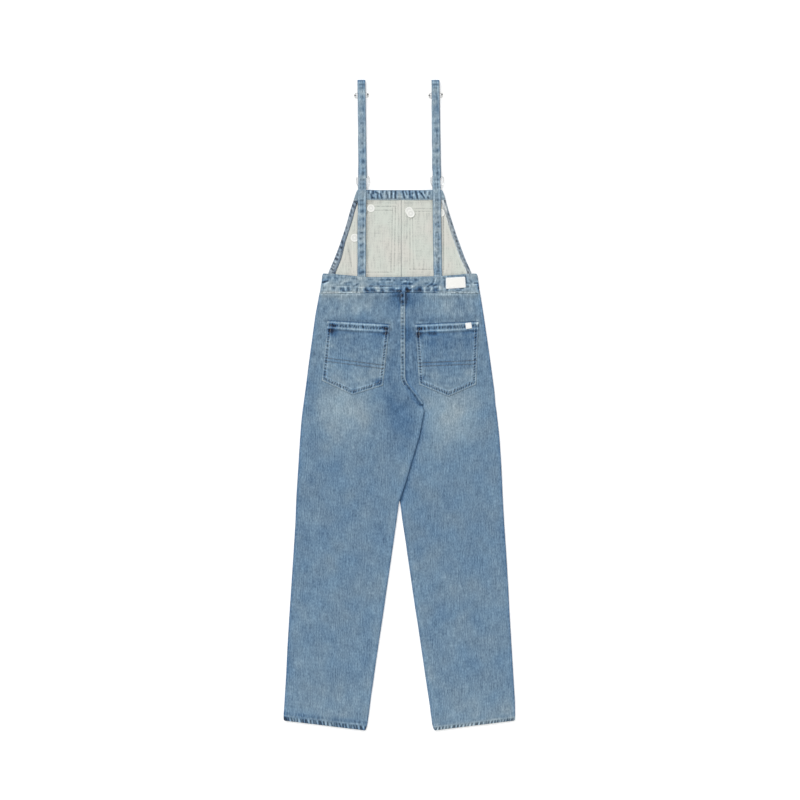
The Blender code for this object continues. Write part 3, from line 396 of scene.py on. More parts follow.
# Furrows and rubbed places of the seat seam: place, reach across and up, change of tone
SEAM_WEAR = (
    (6.7, 264, 4.1, 4.8, -0.62), (2.6, 260, 2.8, 8, -0.3), (6.7, 248, 4.3, 4.1, -0.66),
    (8.2, 240, 3.1, 1.7, -0.5), (7.2, 235, 3.4, 2.2, 0.22), (7, 221, 3.1, 1.9, 0.22),
    (7, 214, 3.1, 1.7, 0.16), (7, 209, 3.4, 1.9, -0.42), (7, 205, 3.1, 1.7, 0.16), (7, 200, 3.6, 2.4, -0.28),
    (7, 196, 3.1, 1.7, 0.14), (7, 190, 3.6, 2.2, -0.4), (7, 185, 3.8, 1.9, -0.56),
    (7.4, 177, 3.8, 2.4, -0.44), (6.5, 168, 3.8, 1.9, -0.56), (6.5, 161, 3.8, 2.4, -0.5),
    (7, 154, 3.1, 1.9, 0.2), (7, 149, 3.4, 1.9, -0.22), (7, 141, 3.1, 2.2, -0.26), (2.2, 133, 1.9, 1.7, 0.2),
    (7.9, 126, 3.1, 2.2, -0.54), (7, 120, 2.6, 1.4, 0.18), (6, 116, 3.1, 2.4, -0.58),
    (7, 110, 2.4, 1.7, -0.62), (7, 102, 2.4, 3.6, -0.44), (7, 94, 3.1, 1.4, -0.18), (7, 87, 3.1, 1.9, -0.42),
    (6.7, 78, 3.4, 2.2, -0.48), (5.3, 70, 2.6, 1.9, -0.42), (7.9, 65, 3.1, 2.2, -0.46),
    (9.8, 57, 2.4, 2.4, -0.5), (12.2, 51, 2.4, 2.6, -0.45), (6.5, 175, 4.5, 17, -0.1),
    (8.2, 108, 4, 17, -0.12),
)
# How light the seam's edges are down the seam: height, right edge, left edge
SEAM_RAILS = (
    (272, 0, 0.5), (244, 0, 0.6), (240, 1, 0.9), (196, 1, 0.9), (190, 0.35, 0.6), (162, 0.35, 0.6),
    (156, 1, 0.8), (56, 1, 0.7), (46, 0.3, 0.1), (-12, 0, 0),
)
# Furrows of each roped hem: their places across
HEM_FURROWS = {
    "left": (
        -276, -271, -266, -258, -252, -245, -235, -231, -225, -222, -213, -205, -200, -192, -188, -181, -172,
        -162, -156, -150, -142, -135, -128, -119, -115, -108, -102, -93, -90, -82, -78,
    ),
    "right": (
        82, 88, 96, 104, 112, 120, 129, 132, 140, 149, 158, 165, 174, 183, 187, 195, 198, 205, 209, 214, 222,
        229, 235, 239, 245, 252, 258, 263, 269, 272,
    ),
}

# Wire buckle
WIRE = 1.1                             # radius
BUCKLE_HEIGHT = 3.4
# Half of its outline from the middle of its bar: place across, place up the garment from the bar
BUCKLE_HALF = (
    (0, 0), (12, 0), (14.4, -0.9), (15.3, -3.4), (15.3, -10), (15.1, -15), (13.2, -20), (9.6, -26.5),
    (6.8, -32), (5.7, -37), (5.7, -45), (5.1, -48), (3.2, -50.3), (0, -51.2),
)

# Three-bar sliders: edges of their bars from the middle, across and along the strap
SLIDER_COLUMNS = (-17.0, -13.6, 13.6, 17.0)
SLIDER_ROWS = (-6.9, -5.3, -0.8, 0.8, 5.3, 6.9)
SLIDER_CORNER = 15.4                   # place across of the cut corners
# The beads at the ends are dark: painted shade for the holes there
SLIDER_BEAD, BEAD = 15.3, 1.6          # from the middle to the beads at its ends, and their radius
SLIDER_PLY = 1.2
SLIDER_ARCH = 3.6                      # how far the middle bar is raised over the outer ones
SLIDER_TURN = 4.0                      # degrees

# Discs and buttons
DISC_PLY = 0.8
TURN_STEPS = 48                        # round a turned piece

# Seeds of the uneven fields on each side of the garment
SEED = {"left": 20, "right": 40}


def linear(red, green, blue):
    """Linear colour of a display colour given from 0 to 255."""
    return tuple((part / 255.0) ** 2.2 for part in (red, green, blue))


def length_property(name, description, default, least=0.0):
    """A length that a user may change, in metres."""
    return FloatProperty(name=name, description=description, default=default, min=least, unit="LENGTH")


def colour_property(name, description, *display):
    """A colour that a user may change, from its display colour."""
    return FloatVectorProperty(name=name, description=description, subtype="COLOR", min=0.0, max=1.0,
                               default=linear(*display))


class DungareesCloth(bpy.types.PropertyGroup):
    """Sizes of the cloth and its creases"""

    spacing: length_property("Spacing", "Distance between the points of a leg panel", 0.0045, 0.002)
    fine_spacing: length_property("Fine spacing", "Distance between points of small pieces", 0.0024, 0.001)
    undulation: length_property("Undulation", "Height of the soft waves in flat cloth", 0.0004)
    roping: length_property("Roping", "Height of the ridges along sewn edges", 0.0005)
    twill: length_property("Twill", "Distance between the lines of the twill", 0.0011, 0.0001)


class DungareesColours(bpy.types.PropertyGroup):
    """Colours of the denim, its wrong side, the threads, the metal and the labels"""

    indigo: colour_property("Indigo", "Darkest denim, in folds and seams", 32, 48, 72)
    dark: colour_property("Dark", "Denim that has kept its colour", 69, 103, 138)
    washed: colour_property("Washed", "Main colour of the washed denim", 111, 137, 159)
    faded: colour_property("Faded", "Rubbed and faded denim", 149, 167, 177)
    bare: colour_property("Bare", "Denim worn down to its white yarn", 200, 212, 217)
    wrong_side: colour_property("Wrong side", "Pale inside of the denim", 210, 213, 206)
    thread: colour_property("Thread", "Pale topstitching", 186, 200, 206)
    tan_thread: colour_property("Tan thread", "Brownish stitching", 120, 122, 118)
    bib_thread: colour_property("Bib thread", "Stitching on the pale side", 206, 208, 200)
    nickel: colour_property("Nickel", "Sliders, buckles and buttons", 236, 236, 234)
    disc: colour_property("Disc", "White discs inside the bib", 240, 241, 236)
    label: colour_property("Label", "Label and tab", 253, 255, 255)


class DungareesSewing(bpy.types.PropertyGroup):
    """Sizes of the stitches"""

    pitch: length_property("Pitch", "From one stitch to the next", 0.0034, 0.001)
    length: length_property("Length", "Length of one stitch", 0.0027, 0.0005)
    thread: length_property("Thread", "Thickness of the thread", 0.0007, 0.0001)


def cloth_sizes():
    return bpy.context.scene.dungarees_cloth


def colours():
    return bpy.context.scene.dungarees_colours


# Fields over the cloth

def bell(away, reach):
    """1 where away is 0, falling off on both sides of it over a reach."""
    return np.exp(-(away / reach) ** 2)


def fade(away, reach):
    """1 where away is 0, falling off steeply at first over a reach."""
    return np.exp(-away / reach)


def ease(start, end, value):
    """0 at start, 1 at end, smooth between them."""
    share = np.clip((value - start) / (end - start), 0.0, 1.0)
    return share * share * (3.0 - 2.0 * share)


def uneven(x, y, size, seed):
    """A soft field of about that feature size, from about -1 to 1."""
    draw = np.random.default_rng(seed)
    total = 0.0
    for _ in range(8):
        angle, phase = draw.uniform(0.0, math.tau, 2)
        pitch = size * draw.uniform(0.7, 1.7)
        total = total + np.sin((x * math.cos(angle) + y * math.sin(angle)) * math.tau / pitch + phase)
    return total / 4.0


def roping(along, across, pitch, slant, seed):
    """Ridges of a roped seam, from -1 to 1: slanting, and uneven in spacing and strength."""
    drift = 0.5 * uneven(along, 0.0, pitch * 5.0, seed)
    strength = 0.7 + 0.3 * uneven(along, 0.0, pitch * 3.0, seed + 1)
    return np.sin((along / pitch + slant * across + drift) * math.tau) * strength


def spots(table, x, y):
    """Sum of the changes that a table of spots makes."""
    total = 0.0 * x
    for spot_x, spot_y, reach_x, reach_y, change in table:
        total = total + change * np.exp(-((x - spot_x) / reach_x) ** 2 - ((y - spot_y) / reach_y) ** 2)
    return total


def away_from_run(x, y, start, end):
    """Distance of places from a line that ends at two points."""
    start, end = Vector(start), Vector(end)
    run = end - start
    share = ((x - start.x) * run.x + (y - start.y) * run.y) / max(run.length_squared, 0.01)
    share = np.clip(share, 0.0, 1.0)
    return np.hypot(x - start.x - share * run.x, y - start.y - share * run.y)


def creased(table, x, y):
    """Sum of the changes that a table of small creases makes."""
    total = 0.0 * x
    for x0, y0, x1, y1, reach, change in table:
        total = total + change * bell(away_from_run(x, y, (x0, y0), (x1, y1)), reach)
    return total


def crease_height(x, y):
    """Sum of the soft creases, each fading out at its ends."""
    total = 0.0 * x
    for x0, y0, x1, y1, reach, height in CREASES:
        run = Vector((x1 - x0, y1 - y0))
        share = ((x - x0) * run.x + (y - y0) * run.y) / run.length_squared
        away = ((x - x0) * run.y - (y - y0) * run.x) / run.length
        bend = away + 0.12 * run.length * np.sin(share * math.pi)
        ends = np.sin(np.clip(share, 0.0, 1.0) * math.pi) ** 0.8
        total = total + height * ends * bell(bend, reach)
    return total


def trouser_relief(x, y):
    """Height of creases and soft waves over the plain top of the trousers."""
    waves = uneven(x, y * 0.5, 70.0, 3) + 0.5 * uneven(x, y * 0.7, 26.0, 4)
    return crease_height(x, y) + cloth_sizes().undulation / MM * waves


def lap(y):
    """How far the left leg laps over the right one at a height of the garment."""
    return np.interp(y, *zip(*LAP))


def outline(node, axis, places, side):
    """Lowest (side -1) or highest (side 1) coordinate of a CAD node's outline at places along an axis."""
    points = np.array([vertex.co[:2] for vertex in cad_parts[node].data.vertices]) / MM
    ends = points[np.array([edge.vertices[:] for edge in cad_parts[node].data.edges])]
    first, last = ends[:, 0, axis], ends[:, 1, axis]
    margin = 0.01
    found = []
    for place in np.clip(places, points[:, axis].min() + margin, points[:, axis].max() - margin):
        cut = ((first - place) * (last - place) <= 0.0) & (first != last)
        share = (place - first[cut]) / (last[cut] - first[cut])
        other = ends[cut, 0, 1 - axis] * (1.0 - share) + ends[cut, 1, 1 - axis] * share
        found.append(side * (side * other).max())
    found = np.array(found)
    return found - side * OUTER_TRIM[side] * (side * found > OUTER_FROM) * (axis == 1)


def corner(node, x_way, y_way):
    """The corner of a CAD node that lies furthest in a direction."""
    points = [vertex.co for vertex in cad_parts[node].data.vertices]
    furthest = max(points, key=lambda place: place.x * x_way + place.y * y_way)
    return Vector((furthest.x, furthest.y)) / MM


# Making meshes

def finish_mesh(bm, name, smooth=True):
    """Make an object of a bmesh, with its place in its mesh."""
    mesh = bpy.data.meshes.new(name)
    bm.to_mesh(mesh)
    bm.free()
    if smooth:
        mesh.shade_smooth()
    piece = bpy.data.objects.new(name, mesh)
    bpy.context.scene.collection.objects.link(piece)
    return piece


def settle(piece, material, nodes=()):
    """Give a finished piece its material, unless it has one, and its body, and hide the CAD nodes that it
    stands for.
    """
    if not piece.data.materials:
        piece.data.materials.append(material)
    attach(piece, "root")
    if nodes:
        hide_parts(*nodes)
    return piece


def lengths(places, axis):
    """Distance run along an axis of a grid of points, from 0."""
    run = np.linalg.norm(np.diff(places, axis=axis), axis=2).cumsum(axis=axis)
    return np.concatenate([np.zeros_like(run.take([0], axis)), run], axis=axis)


def averaged(values, axis, steps):
    """Running mean of a grid of values along an axis, over about that many steps."""
    half = int(steps / 2.0)
    padded = np.pad(values, [(half, half) if way == axis else (0, 0) for way in (0, 1)], "edge")
    total = np.insert(padded.cumsum(axis=axis), 0, 0.0, axis=axis)
    last = np.arange(2 * half + 1, total.shape[axis])
    return (total.take(last, axis) - total.take(last - 2 * half - 1, axis)) / (2 * half + 1)


def woven(name, places, tone, shade, grain):
    """A piece over a grid of points, with each point's tone and shade and with its place along the grain."""
    rows, columns = tone.shape
    bm = bmesh.new()
    bmesh.ops.create_grid(bm, x_segments=columns - 1, y_segments=rows - 1, size=1.0)
    layer = bm.loops.layers.uv.new("grain")
    tones, shades = (bm.verts.layers.float.new(mark) for mark in ("tone", "shade"))
    flat = (grain * MM).reshape(-1, 2)
    places = (places * MM).reshape(-1, 3)
    for vertex, place, dyed, shaded in zip(bm.verts, places, tone.ravel(), shade.ravel()):
        vertex.co = place
        vertex[tones] = dyed
        vertex[shades] = shaded
    for polygon in bm.faces:
        for loop in polygon.loops:
            loop[layer].uv = flat[loop.vert.index]
    SURFACES[name] = BVHTree.FromBMesh(bm)
    return finish_mesh(bm, name)


def cloth(name, node, places, ply, tone, finish="denim", face=1, narrow=NARROW, grey=0.0,
          inner=None):
    """A wall of cloth from a grid of points on its outer side, which faces up (1) or down (-1)."""
    across, along = lengths(places, 1), lengths(places, 0)
    grain_x = places[..., 0] + GRAIN_APART[0] * (len(name) % 7)
    grain_y = along.mean(axis=1, keepdims=True) + GRAIN_APART[1] * (len(name) % 5) + 0.0 * along
    ply = np.broadcast_to(ply, tone.shape)
    rows, columns = tone.shape
    shade = 0.0 * tone
    if finish in ("denim", "worn_denim"):
        broad = averaged(averaged(tone, 1, narrow * columns / across.max()), 0, narrow * rows / along.max())
        dyed = LIGHT_SHARE * np.maximum(tone - broad, 0.0) + DARK_SHARE * np.minimum(tone - broad, 0.0)
        shade, tone = tone - broad - dyed + grey, broad + dyed
    grids = (places, tone, shade, ply, grain_x, grain_y)
    step_x, step_y = places[1, 1] - places[1, 0], places[1, 1] - places[0, 1]
    if (step_x[0] * step_y[1] - step_x[1] * step_y[0]) * face < 0.0:
        grids = (grid[:, ::-1] for grid in grids)
    places, tone, shade, ply, grain_x, grain_y = grids
    piece = woven(name, places, tone, shade, np.dstack([grain_x, grain_y]))
    thickest = float(ply.max())
    if ply.min() < thickest:
        group = piece.vertex_groups.new(name="ply")
        for value in np.unique(ply.round(3)):
            members = np.flatnonzero(ply.ravel().round(3) == value)
            group.add([int(member) for member in members], float(value / thickest), "REPLACE")
    wall = piece.modifiers.new("wall", "SOLIDIFY")
    wall.thickness = thickest * MM
    wall.offset = -1.0
    if piece.vertex_groups:
        wall.vertex_group = "ply"
    piece.data.materials.append(MATERIALS[finish])
    if finish in OTHER_SIDE:
        piece.data.materials.append(MATERIALS[inner or OTHER_SIDE[finish]])
        wall.material_offset = 1
        wall.material_offset_rim = 1 if finish == "denim_inside" else 0
    settle(piece, None, [node])
    cells = np.cross(places[1:, 1:] - places[:-1, :-1], places[1:, :-1] - places[:-1, 1:])
    return piece


# Materials

class Value:
    """A socket of a material. Arithmetic on it adds Math nodes."""

    def __init__(self, finish, socket):
        self.finish = finish
        self.socket = socket

    def math(self, operation, *others, swap=False):
        parts = [self, *others][::-1] if swap else [self, *others]
        return self.finish.node("Math", {"operation": operation}, dict(enumerate(parts)))

    def __add__(self, other):
        return self.math("ADD", other)

    def __sub__(self, other):
        return self.math("SUBTRACT", other)

    def __rsub__(self, other):
        return self.math("SUBTRACT", other, swap=True)

    def __mul__(self, other):
        return self.math("MULTIPLY", other)

    def sine(self):
        return self.math("SINE")

    def exponent(self):
        return self.math("EXPONENT")

    __radd__ = __add__
    __rmul__ = __mul__


class Finish:
    """A material whose nodes are made one at a time."""

    def __init__(self, name):
        self.material = bpy.data.materials.new(name)
        self.material.use_nodes = True
        self.tree = self.material.node_tree
        self.shader = self.tree.nodes["Principled BSDF"]

    def fill(self, node, sockets):
        for key, value in sockets.items():
            if isinstance(value, Value):
                self.tree.links.new(value.socket, node.inputs[key])
            else:
                node.inputs[key].default_value = value

    def node(self, kind, settings, sockets, output=0):
        """A node of a type, with its settings set first and then its sockets' values or links."""
        made = self.tree.nodes.new("ShaderNode" + kind)
        for key, value in settings.items():
            if key == "stops":
                for place, colour in value[2:]:
                    made.color_ramp.elements.new(place)
                for element, (place, colour) in zip(made.color_ramp.elements, value):
                    element.position = place
                    element.color = (*colour, 1.0)
            else:
                setattr(made, key, value)
        self.fill(made, sockets)
        return Value(self, made.outputs[output])

    def grain(self):
        """Distance across and along the cloth, in metres."""
        return self.node("UVMap", {"uv_map": "grain"}, {})

    def place(self):
        return self.node("TexCoord", {}, {}, "Object")

    def scaled(self, vector, across, along):
        return self.node("VectorMath", {"operation": "MULTIPLY"}, {0: vector, 1: (across, along, 1.0)})

    def noise(self, vector, scale=1.0, detail=1.0, roughness=0.5):
        return self.node("TexNoise", {}, {"Vector": vector, "Scale": scale, "Detail": detail,
                                          "Roughness": roughness})

    def twill(self, vector, pitch):
        """Diagonal lines of a twill weave, from -1 to 1."""
        parts = [self.node("SeparateXYZ", {}, {0: vector}, axis) for axis in (0, 1)]
        return ((parts[0] + parts[1] * 0.6) * (math.tau / pitch)).sine()

    def mix(self, share, first, last):
        """From a first colour to a last one by a share."""
        return self.node("Mix", {"data_type": "RGBA"}, {0: share, 6: (*first, 1.0), 7: (*last, 1.0)}, 2)

    def clouded(self, colour, scale, low, warm, cool):
        """A colour times soft clouds from a warm tint to a cool one."""
        share = self.node("MapRange", {}, {0: self.noise(self.place(), scale), 1: low, 2: 1.0 - low})
        blend = {"data_type": "RGBA", "blend_type": "MULTIPLY"}
        return self.node("Mix", blend, {0: 1.0, 6: colour, 7: self.mix(share, warm, cool)}, 2)

    def bump(self, height, distance, strength=1.0):
        return self.node("Bump", {}, {"Height": height, "Distance": distance, "Strength": strength})

    def mark(self, name):
        return self.node("Attribute", {"attribute_name": name}, {}, "Fac")


def greyed(colour, share):
    """A colour moved that far towards the grey of the same lightness."""
    return Vector(colour).lerp(Vector((sum(colour) / 3.0,) * 3), share)


def denim(name, greyness=0.0):
    """Washed twill: its tone comes from the piece, its yarns and mottling from the weave."""
    shades = colours()
    finish = Finish(name)
    grain = finish.grain()
    streaks = finish.noise(finish.scaled(grain, 390.0, 170.0), roughness=0.6) - 0.5
    slubs = finish.noise(finish.scaled(grain, 400.0, 36.0)) - 0.5
    patches = finish.noise(finish.place(), 24.0, 2.0) - 0.5
    twill = finish.twill(grain, cloth_sizes().twill)
    yarns = streaks * 0.58 + slubs * 0.48 + twill * 0.02
    ramp = (shades.indigo, shades.dark, shades.washed, shades.faded, shades.bare)
    stops = [(0.25 * number, greyed(colour, greyness)) for number, colour in enumerate(ramp)]
    tone = finish.mark("tone") + patches * 0.14 + yarns * 0.35
    colour = finish.node("ValToRGB", {"stops": stops}, {0: tone})
    clouded = finish.clouded(colour, 17.0, 0.32, (1.045, 1.0, 0.97), (0.957, 1.0, 1.028))
    shaded = (yarns * 1.38 + 1.0) * (finish.mark("shade") * SHADE_DEPTH).exponent()
    worn = finish.node("VectorMath", {"operation": "SCALE"}, {0: clouded, "Scale": shaded})
    height = twill * 0.5 + streaks * 1.2 + slubs
    finish.fill(finish.shader, {"Base Color": worn, "Roughness": 0.86 + streaks * 0.2, "Sheen Weight": 0.08,
                                "Sheen Roughness": 0.6, "Specular IOR Level": 0.25,
                                "Normal": finish.bump(height, WEAVE_DEPTH, 0.7)})
    return finish.material


def denim_inside(name):
    """Wrong side of the twill: undyed weft with flecks of the blue warp."""
    finish = Finish(name)
    grain = finish.grain()
    flecks = finish.noise(finish.scaled(grain, 560.0, 260.0)) - 0.5
    warp = finish.noise(finish.scaled(grain, 430.0, 36.0)) - 0.5
    weft = finish.noise(finish.scaled(grain, 30.0, 470.0)) - 0.5
    twill = finish.twill(finish.scaled(grain, -1.0, 1.0), cloth_sizes().twill)
    tone = finish.mark("tone") + flecks * 0.22 + warp * 0.22 + weft * 0.17 + twill * 0.02
    pale = Vector(colours().wrong_side)
    stops = ((0.0, linear(120, 126, 128)), (0.3, linear(168, 172, 168)), (0.5, pale), (0.8, pale * 1.08))
    colour = finish.node("ValToRGB", {"stops": stops}, {0: tone})
    clouded = finish.clouded(colour, 15.0, 0.38, (1.02, 0.985, 0.975), (0.985, 1.01, 0.995))
    finish.fill(finish.shader, {"Base Color": clouded, "Roughness": 0.92, "Specular IOR Level": 0.2,
                                "Normal": finish.bump(twill * 0.5 + flecks * 1.4, WEAVE_DEPTH, 0.7)})
    return finish.material


def thread(name, colour):
    """Twisted sewing thread, worn lighter and darker along the row."""
    finish = Finish(name)
    shade = finish.mix(finish.noise(finish.place(), 150.0), 0.55 * Vector(colour), 1.25 * Vector(colour))
    twist = (finish.node("SeparateXYZ", {}, {0: finish.place()}, 0) * 9000.0).sine()
    finish.fill(finish.shader, {"Base Color": shade, "Roughness": 0.7, "Normal": finish.bump(twist, 0.00008)})
    return finish.material


def nickel(name, colour):
    """Plated metal with fine handling marks."""
    finish = Finish(name)
    marks = finish.noise(finish.place(), 900.0, 3.0)
    cloud = finish.noise(finish.place(), 160.0, 2.0)
    finish.fill(finish.shader, {"Base Color": (*colour, 1.0), "Metallic": 1.0,
                                "Roughness": 0.2 + cloud * 0.18, "Normal": finish.bump(marks, 0.00003)})
    return finish.material


def white_disc(name, colour):
    """Smooth white plastic, a little scuffed."""
    finish = Finish(name)
    scuff = finish.noise(finish.place(), 420.0, 3.0)
    tone = finish.mix(scuff, 0.93 * Vector(colour), colour)
    finish.fill(finish.shader, {"Base Color": tone, "Roughness": 0.38 + scuff * 0.2,
                                "Normal": finish.bump(scuff, 0.00005)})
    return finish.material


def label_cloth(name):
    """Tightly woven off-white label, creamier inside its white border."""
    finish = Finish(name)
    grain = finish.grain()
    weave = finish.twill(grain, LABEL_WEAVE) * finish.twill(finish.scaled(grain, -1.0, 1.0), LABEL_WEAVE)
    tone = finish.mix(finish.mark("tone"), colours().label, linear(255, 255, 250))
    finish.fill(finish.shader, {"Base Color": tone, "Roughness": 0.6, "Normal": finish.bump(weave, 0.00012)})
    return finish.material


MATERIALS = {}
SURFACES = {}


class DUNGAREES_OT_materials(bpy.types.Operator):
    """Make the denim, its wrong side, the threads, the metal, the discs and the label cloth"""

    bl_idname = "dungarees.materials"
    bl_label = "Materials"

    def execute(self, context):
        shades = colours()
        MATERIALS.update({
            "denim": denim("washed_denim"),
            "worn_denim": denim("worn_denim", HEM_GREYNESS),
            "denim_inside": denim_inside("denim_wrong_side"),
            "thread": thread("pale_thread", shades.thread),
            "worn_thread": thread("worn_thread", 0.7 * Vector(shades.thread)),
            "tan_thread": thread("tan_thread", shades.tan_thread),
            "bib_thread": thread("bib_thread", shades.bib_thread),
            "metal": nickel("bright_nickel", shades.nickel),
            # A dark copy of the nickel: painted shade for the holes at the sliders' ends
            "painted_shade_metal": nickel("painted_shade_nickel", 0.24 * Vector(shades.nickel)),
            "disc": white_disc("white_plastic", shades.disc),
            # A darker copy of the disc plastic: painted shade in the discs' ring groove
            "disc_painted_shade": white_disc("shaded_plastic", 0.86 * Vector(shades.disc)),
            "label": label_cloth("woven_label"),
        })
        return {"FINISHED"}


# Legs

def leg_grid(side, face, spacing):
    """Outer points of one leg panel and the distances of its points from its side, inner and hem edges."""
    name, other = ("left", "right") if side < 0 else ("right", "left")
    node = ("back_leg_" if face > 0 else "front_leg_") + name
    fall, close = LEG_TOP["inner"] - LEG_FOOT["inner"], 2 * HEM_DEPTH
    shares = np.concatenate([
        np.linspace(0.0, 1.0 - close / fall, int((fall - close) / spacing), endpoint=False),
        np.linspace(1.0 - close / fall, 1.0, int(close / HEM_SPACING)),
    ])
    side_y = LEG_TOP["side"] + (LEG_FOOT["side"] - LEG_TOP["side"]) * shares
    inner_y = LEG_TOP["inner"] - fall * shares
    hem_away = ((1.0 - shares) * fall)[:, None]
    foot_y = corner(node, side, -1).y + TUCK
    side_x = outline(node, 1, np.clip(side_y, foot_y, LEG_TOP["side"] - TUCK), side)
    inner_x = outline(node, 1, np.minimum(inner_y, LEG_TOP["inner"] - TUCK), -side)
    inner_x = inner_x + np.interp(inner_y, *zip(*INNER_SHIFT[side]))
    near = outline(node.replace(name, other), 1, inner_y, side)[:, None] + side * LAP_NEAR
    angles = np.radians(np.linspace(0.0, 90.0, CURL_STEPS))

    def heights(x, y):
        """Underside and top of the leg's tube, lifted or pressed down where the legs lap."""
        share = lap(y) * (1.0 - ease(near, near + side * (LAP_FAR - LAP_NEAR), x))
        hem = (DOUBLE - PLY) * ease(HEM_DEPTH + 1.0, HEM_DEPTH - 1.0, hem_away)
        if side < 0:
            return LIFT * share, LEG_HEIGHT + RISE * share + hem
        return 0.0 * share, LEG_HEIGHT - SINK * share + hem

    def curl(edge_x, edge_y):
        """How far the points round a curled edge lie inside it."""
        low, high = heights(edge_x[:, None], edge_y[:, None])
        return (high - low) / 2.0 * (1.0 - np.cos(angles))

    count = int(abs(side_x - inner_x).max() / (0.5 * spacing))
    side_x, inner_x = side_x[:, None], inner_x[:, None]
    outer_curl = side_x - side * curl(side_x[:, 0], side_y)
    inner_curl = inner_x + side * curl(inner_x[:, 0], inner_y)[:, ::-1]
    start, end = outer_curl[:, -1:], inner_curl[:, :1]
    x = np.hstack([outer_curl, start + (end - start) * np.arange(1, count) / count, inner_curl])
    side_away, inner_away = abs(x - side_x), abs(x - inner_x)
    y = side_y[:, None] + (inner_y - side_y)[:, None] * ((x - side_x) / (inner_x - side_x))
    y = y + (TUCK + GAP) * np.exp((y - y[0]) / TUCK_FADE)
    rounding = np.maximum(HEM_CORNER - np.minimum(side_away, inner_away), 0.0)
    y = y + (HEM_CORNER - np.sqrt(HEM_CORNER ** 2 - rounding ** 2)) * fade(hem_away, 9.0)
    low, high = heights(x, y)
    lean = np.ones_like(x)
    lean[:, :CURL_STEPS] = np.sin(angles)
    lean[:, -CURL_STEPS:] += (np.sin(angles[::-1]) - 1.0) * ease(*FOLD_START, y[:, -CURL_STEPS:])
    z = (low + high) / 2.0 + face * np.maximum((high - low) / 2.0 * lean, GAP / 2.0)
    return x, y, z, lean, side_away, inner_away, hem_away + 0.0 * x


def hem_furrows(x, hem_away, side):
    """Furrows of a leg's roped hem, leaning and uneven: 0 between them, 1 in them."""
    deep = 0.0 * x
    for number, place in enumerate(HEM_FURROWS["left" if side < 0 else "right"]):
        slant = side * (0.24 + 0.16 * math.sin(2.3 * number))
        strength = 0.8 + 0.2 * math.sin(number)
        deep = np.maximum(deep, bell(x - place - slant * (hem_away - 4.0), 2.3) * strength)
    return deep


def leg_tone(x, y, side, side_away, inner_away, hem_away, seed):
    """Tone and wear of a leg: fades, darker edges (partly painted shade), puckers down the side seam and the
    roped hem.
    """
    hem = HEMS["left" if side < 0 else "right"]
    tone = TONE["leg"] - 0.03 * bell(y + 240.0, 190.0) + spots(FADES, x, y)
    tone = tone + creased(LEG_CREASES + BEND_SHADE_LINES, x, y)
    tone += 0.03 * uneven(x, y * 0.4, 60.0, seed) + 0.03 * uneven(x, y, 24.0, seed + 1)
    tone += ease(20.0, 120.0, y) * (0.05 * uneven(x, y, 28.0, seed + 3) + 0.05 * uneven(x, y, 13.0, seed + 4))
    # Light rows under the waistband; the first is partly painted light over the shade at its foot
    dashes = (0.75 + 0.25 * roping(x, 0.0, 9.0, 0.0, seed + 5)) * np.interp(x, *zip(*BAND_RAIL))
    for height, reach, change in BAND_LINES:
        tone += change * dashes * bell(y - height, reach)
    # Darker along the side edge: dye kept in the seam, and painted shade where the cloth curls under
    tone -= 0.34 * fade(side_away, 1.7)
    # Painted shade along the folded inner edge below the crotch, with a lighter band beside it
    tone -= (0.20 * fade(inner_away, 2.4) - 0.05 * bell(inner_away - 9.0, 6.0)) * ease(8, -10, y)
    tone += 0.035 * side_puckers(y, side_away, seed)
    furrows = hem_furrows(x, hem_away, side)
    rubbed = 0.5 + 0.5 * np.tanh(uneven(x, 0.0, 46.0, seed + 6) * 2.0)
    tone += ease(hem.ridged + 1.4, hem.ridged - 1.4, hem_away) * (hem.light - 0.80 * furrows)
    tone += bell(hem_away - hem.line, 1.7) * (0.24 * rubbed + hem.rail)
    under = 0.15 + 1.3 * hem_furrows(x + 3.0, 0.6 * hem_away, side)
    tone -= hem.dark * bell(hem_away - hem.line - 4.8, 4.6) * under
    ends = fade(np.minimum(side_away, inner_away), 7.0) * ease(16.0, 4.0, hem_away)
    return tone - ends * hem.end


def side_puckers(y, side_away, seed):
    """Puckers of a leg's side seam, from -1 to 1."""
    return roping(y, 0.0, 15.0, 0.0, seed + 2) * fade(side_away, 9.0)


def leg_relief(x, y, side, side_away, hem_away, seed):
    """Creases of a leg's back, the puckers of its side seam and the ridges of its hem."""
    ridge = cloth_sizes().roping / MM
    relief = trouser_relief(x, y) + WAIST_RISE * (ease(*RISE_Y, y) - ease(2.0, 0.4, abs(y - y[0])))
    relief += creased(LEG_CREASES, x, y)
    relief += 0.5 * ridge * side_puckers(y, side_away, seed)
    hem = ease(HEM_DEPTH + 3.0, HEM_DEPTH - 3.0, hem_away)
    relief -= 1.4 * hem * ridge * hem_furrows(x, hem_away, side)
    relief -= 0.35 * bell(hem_away - HEM_DEPTH, 1.6)
    return relief


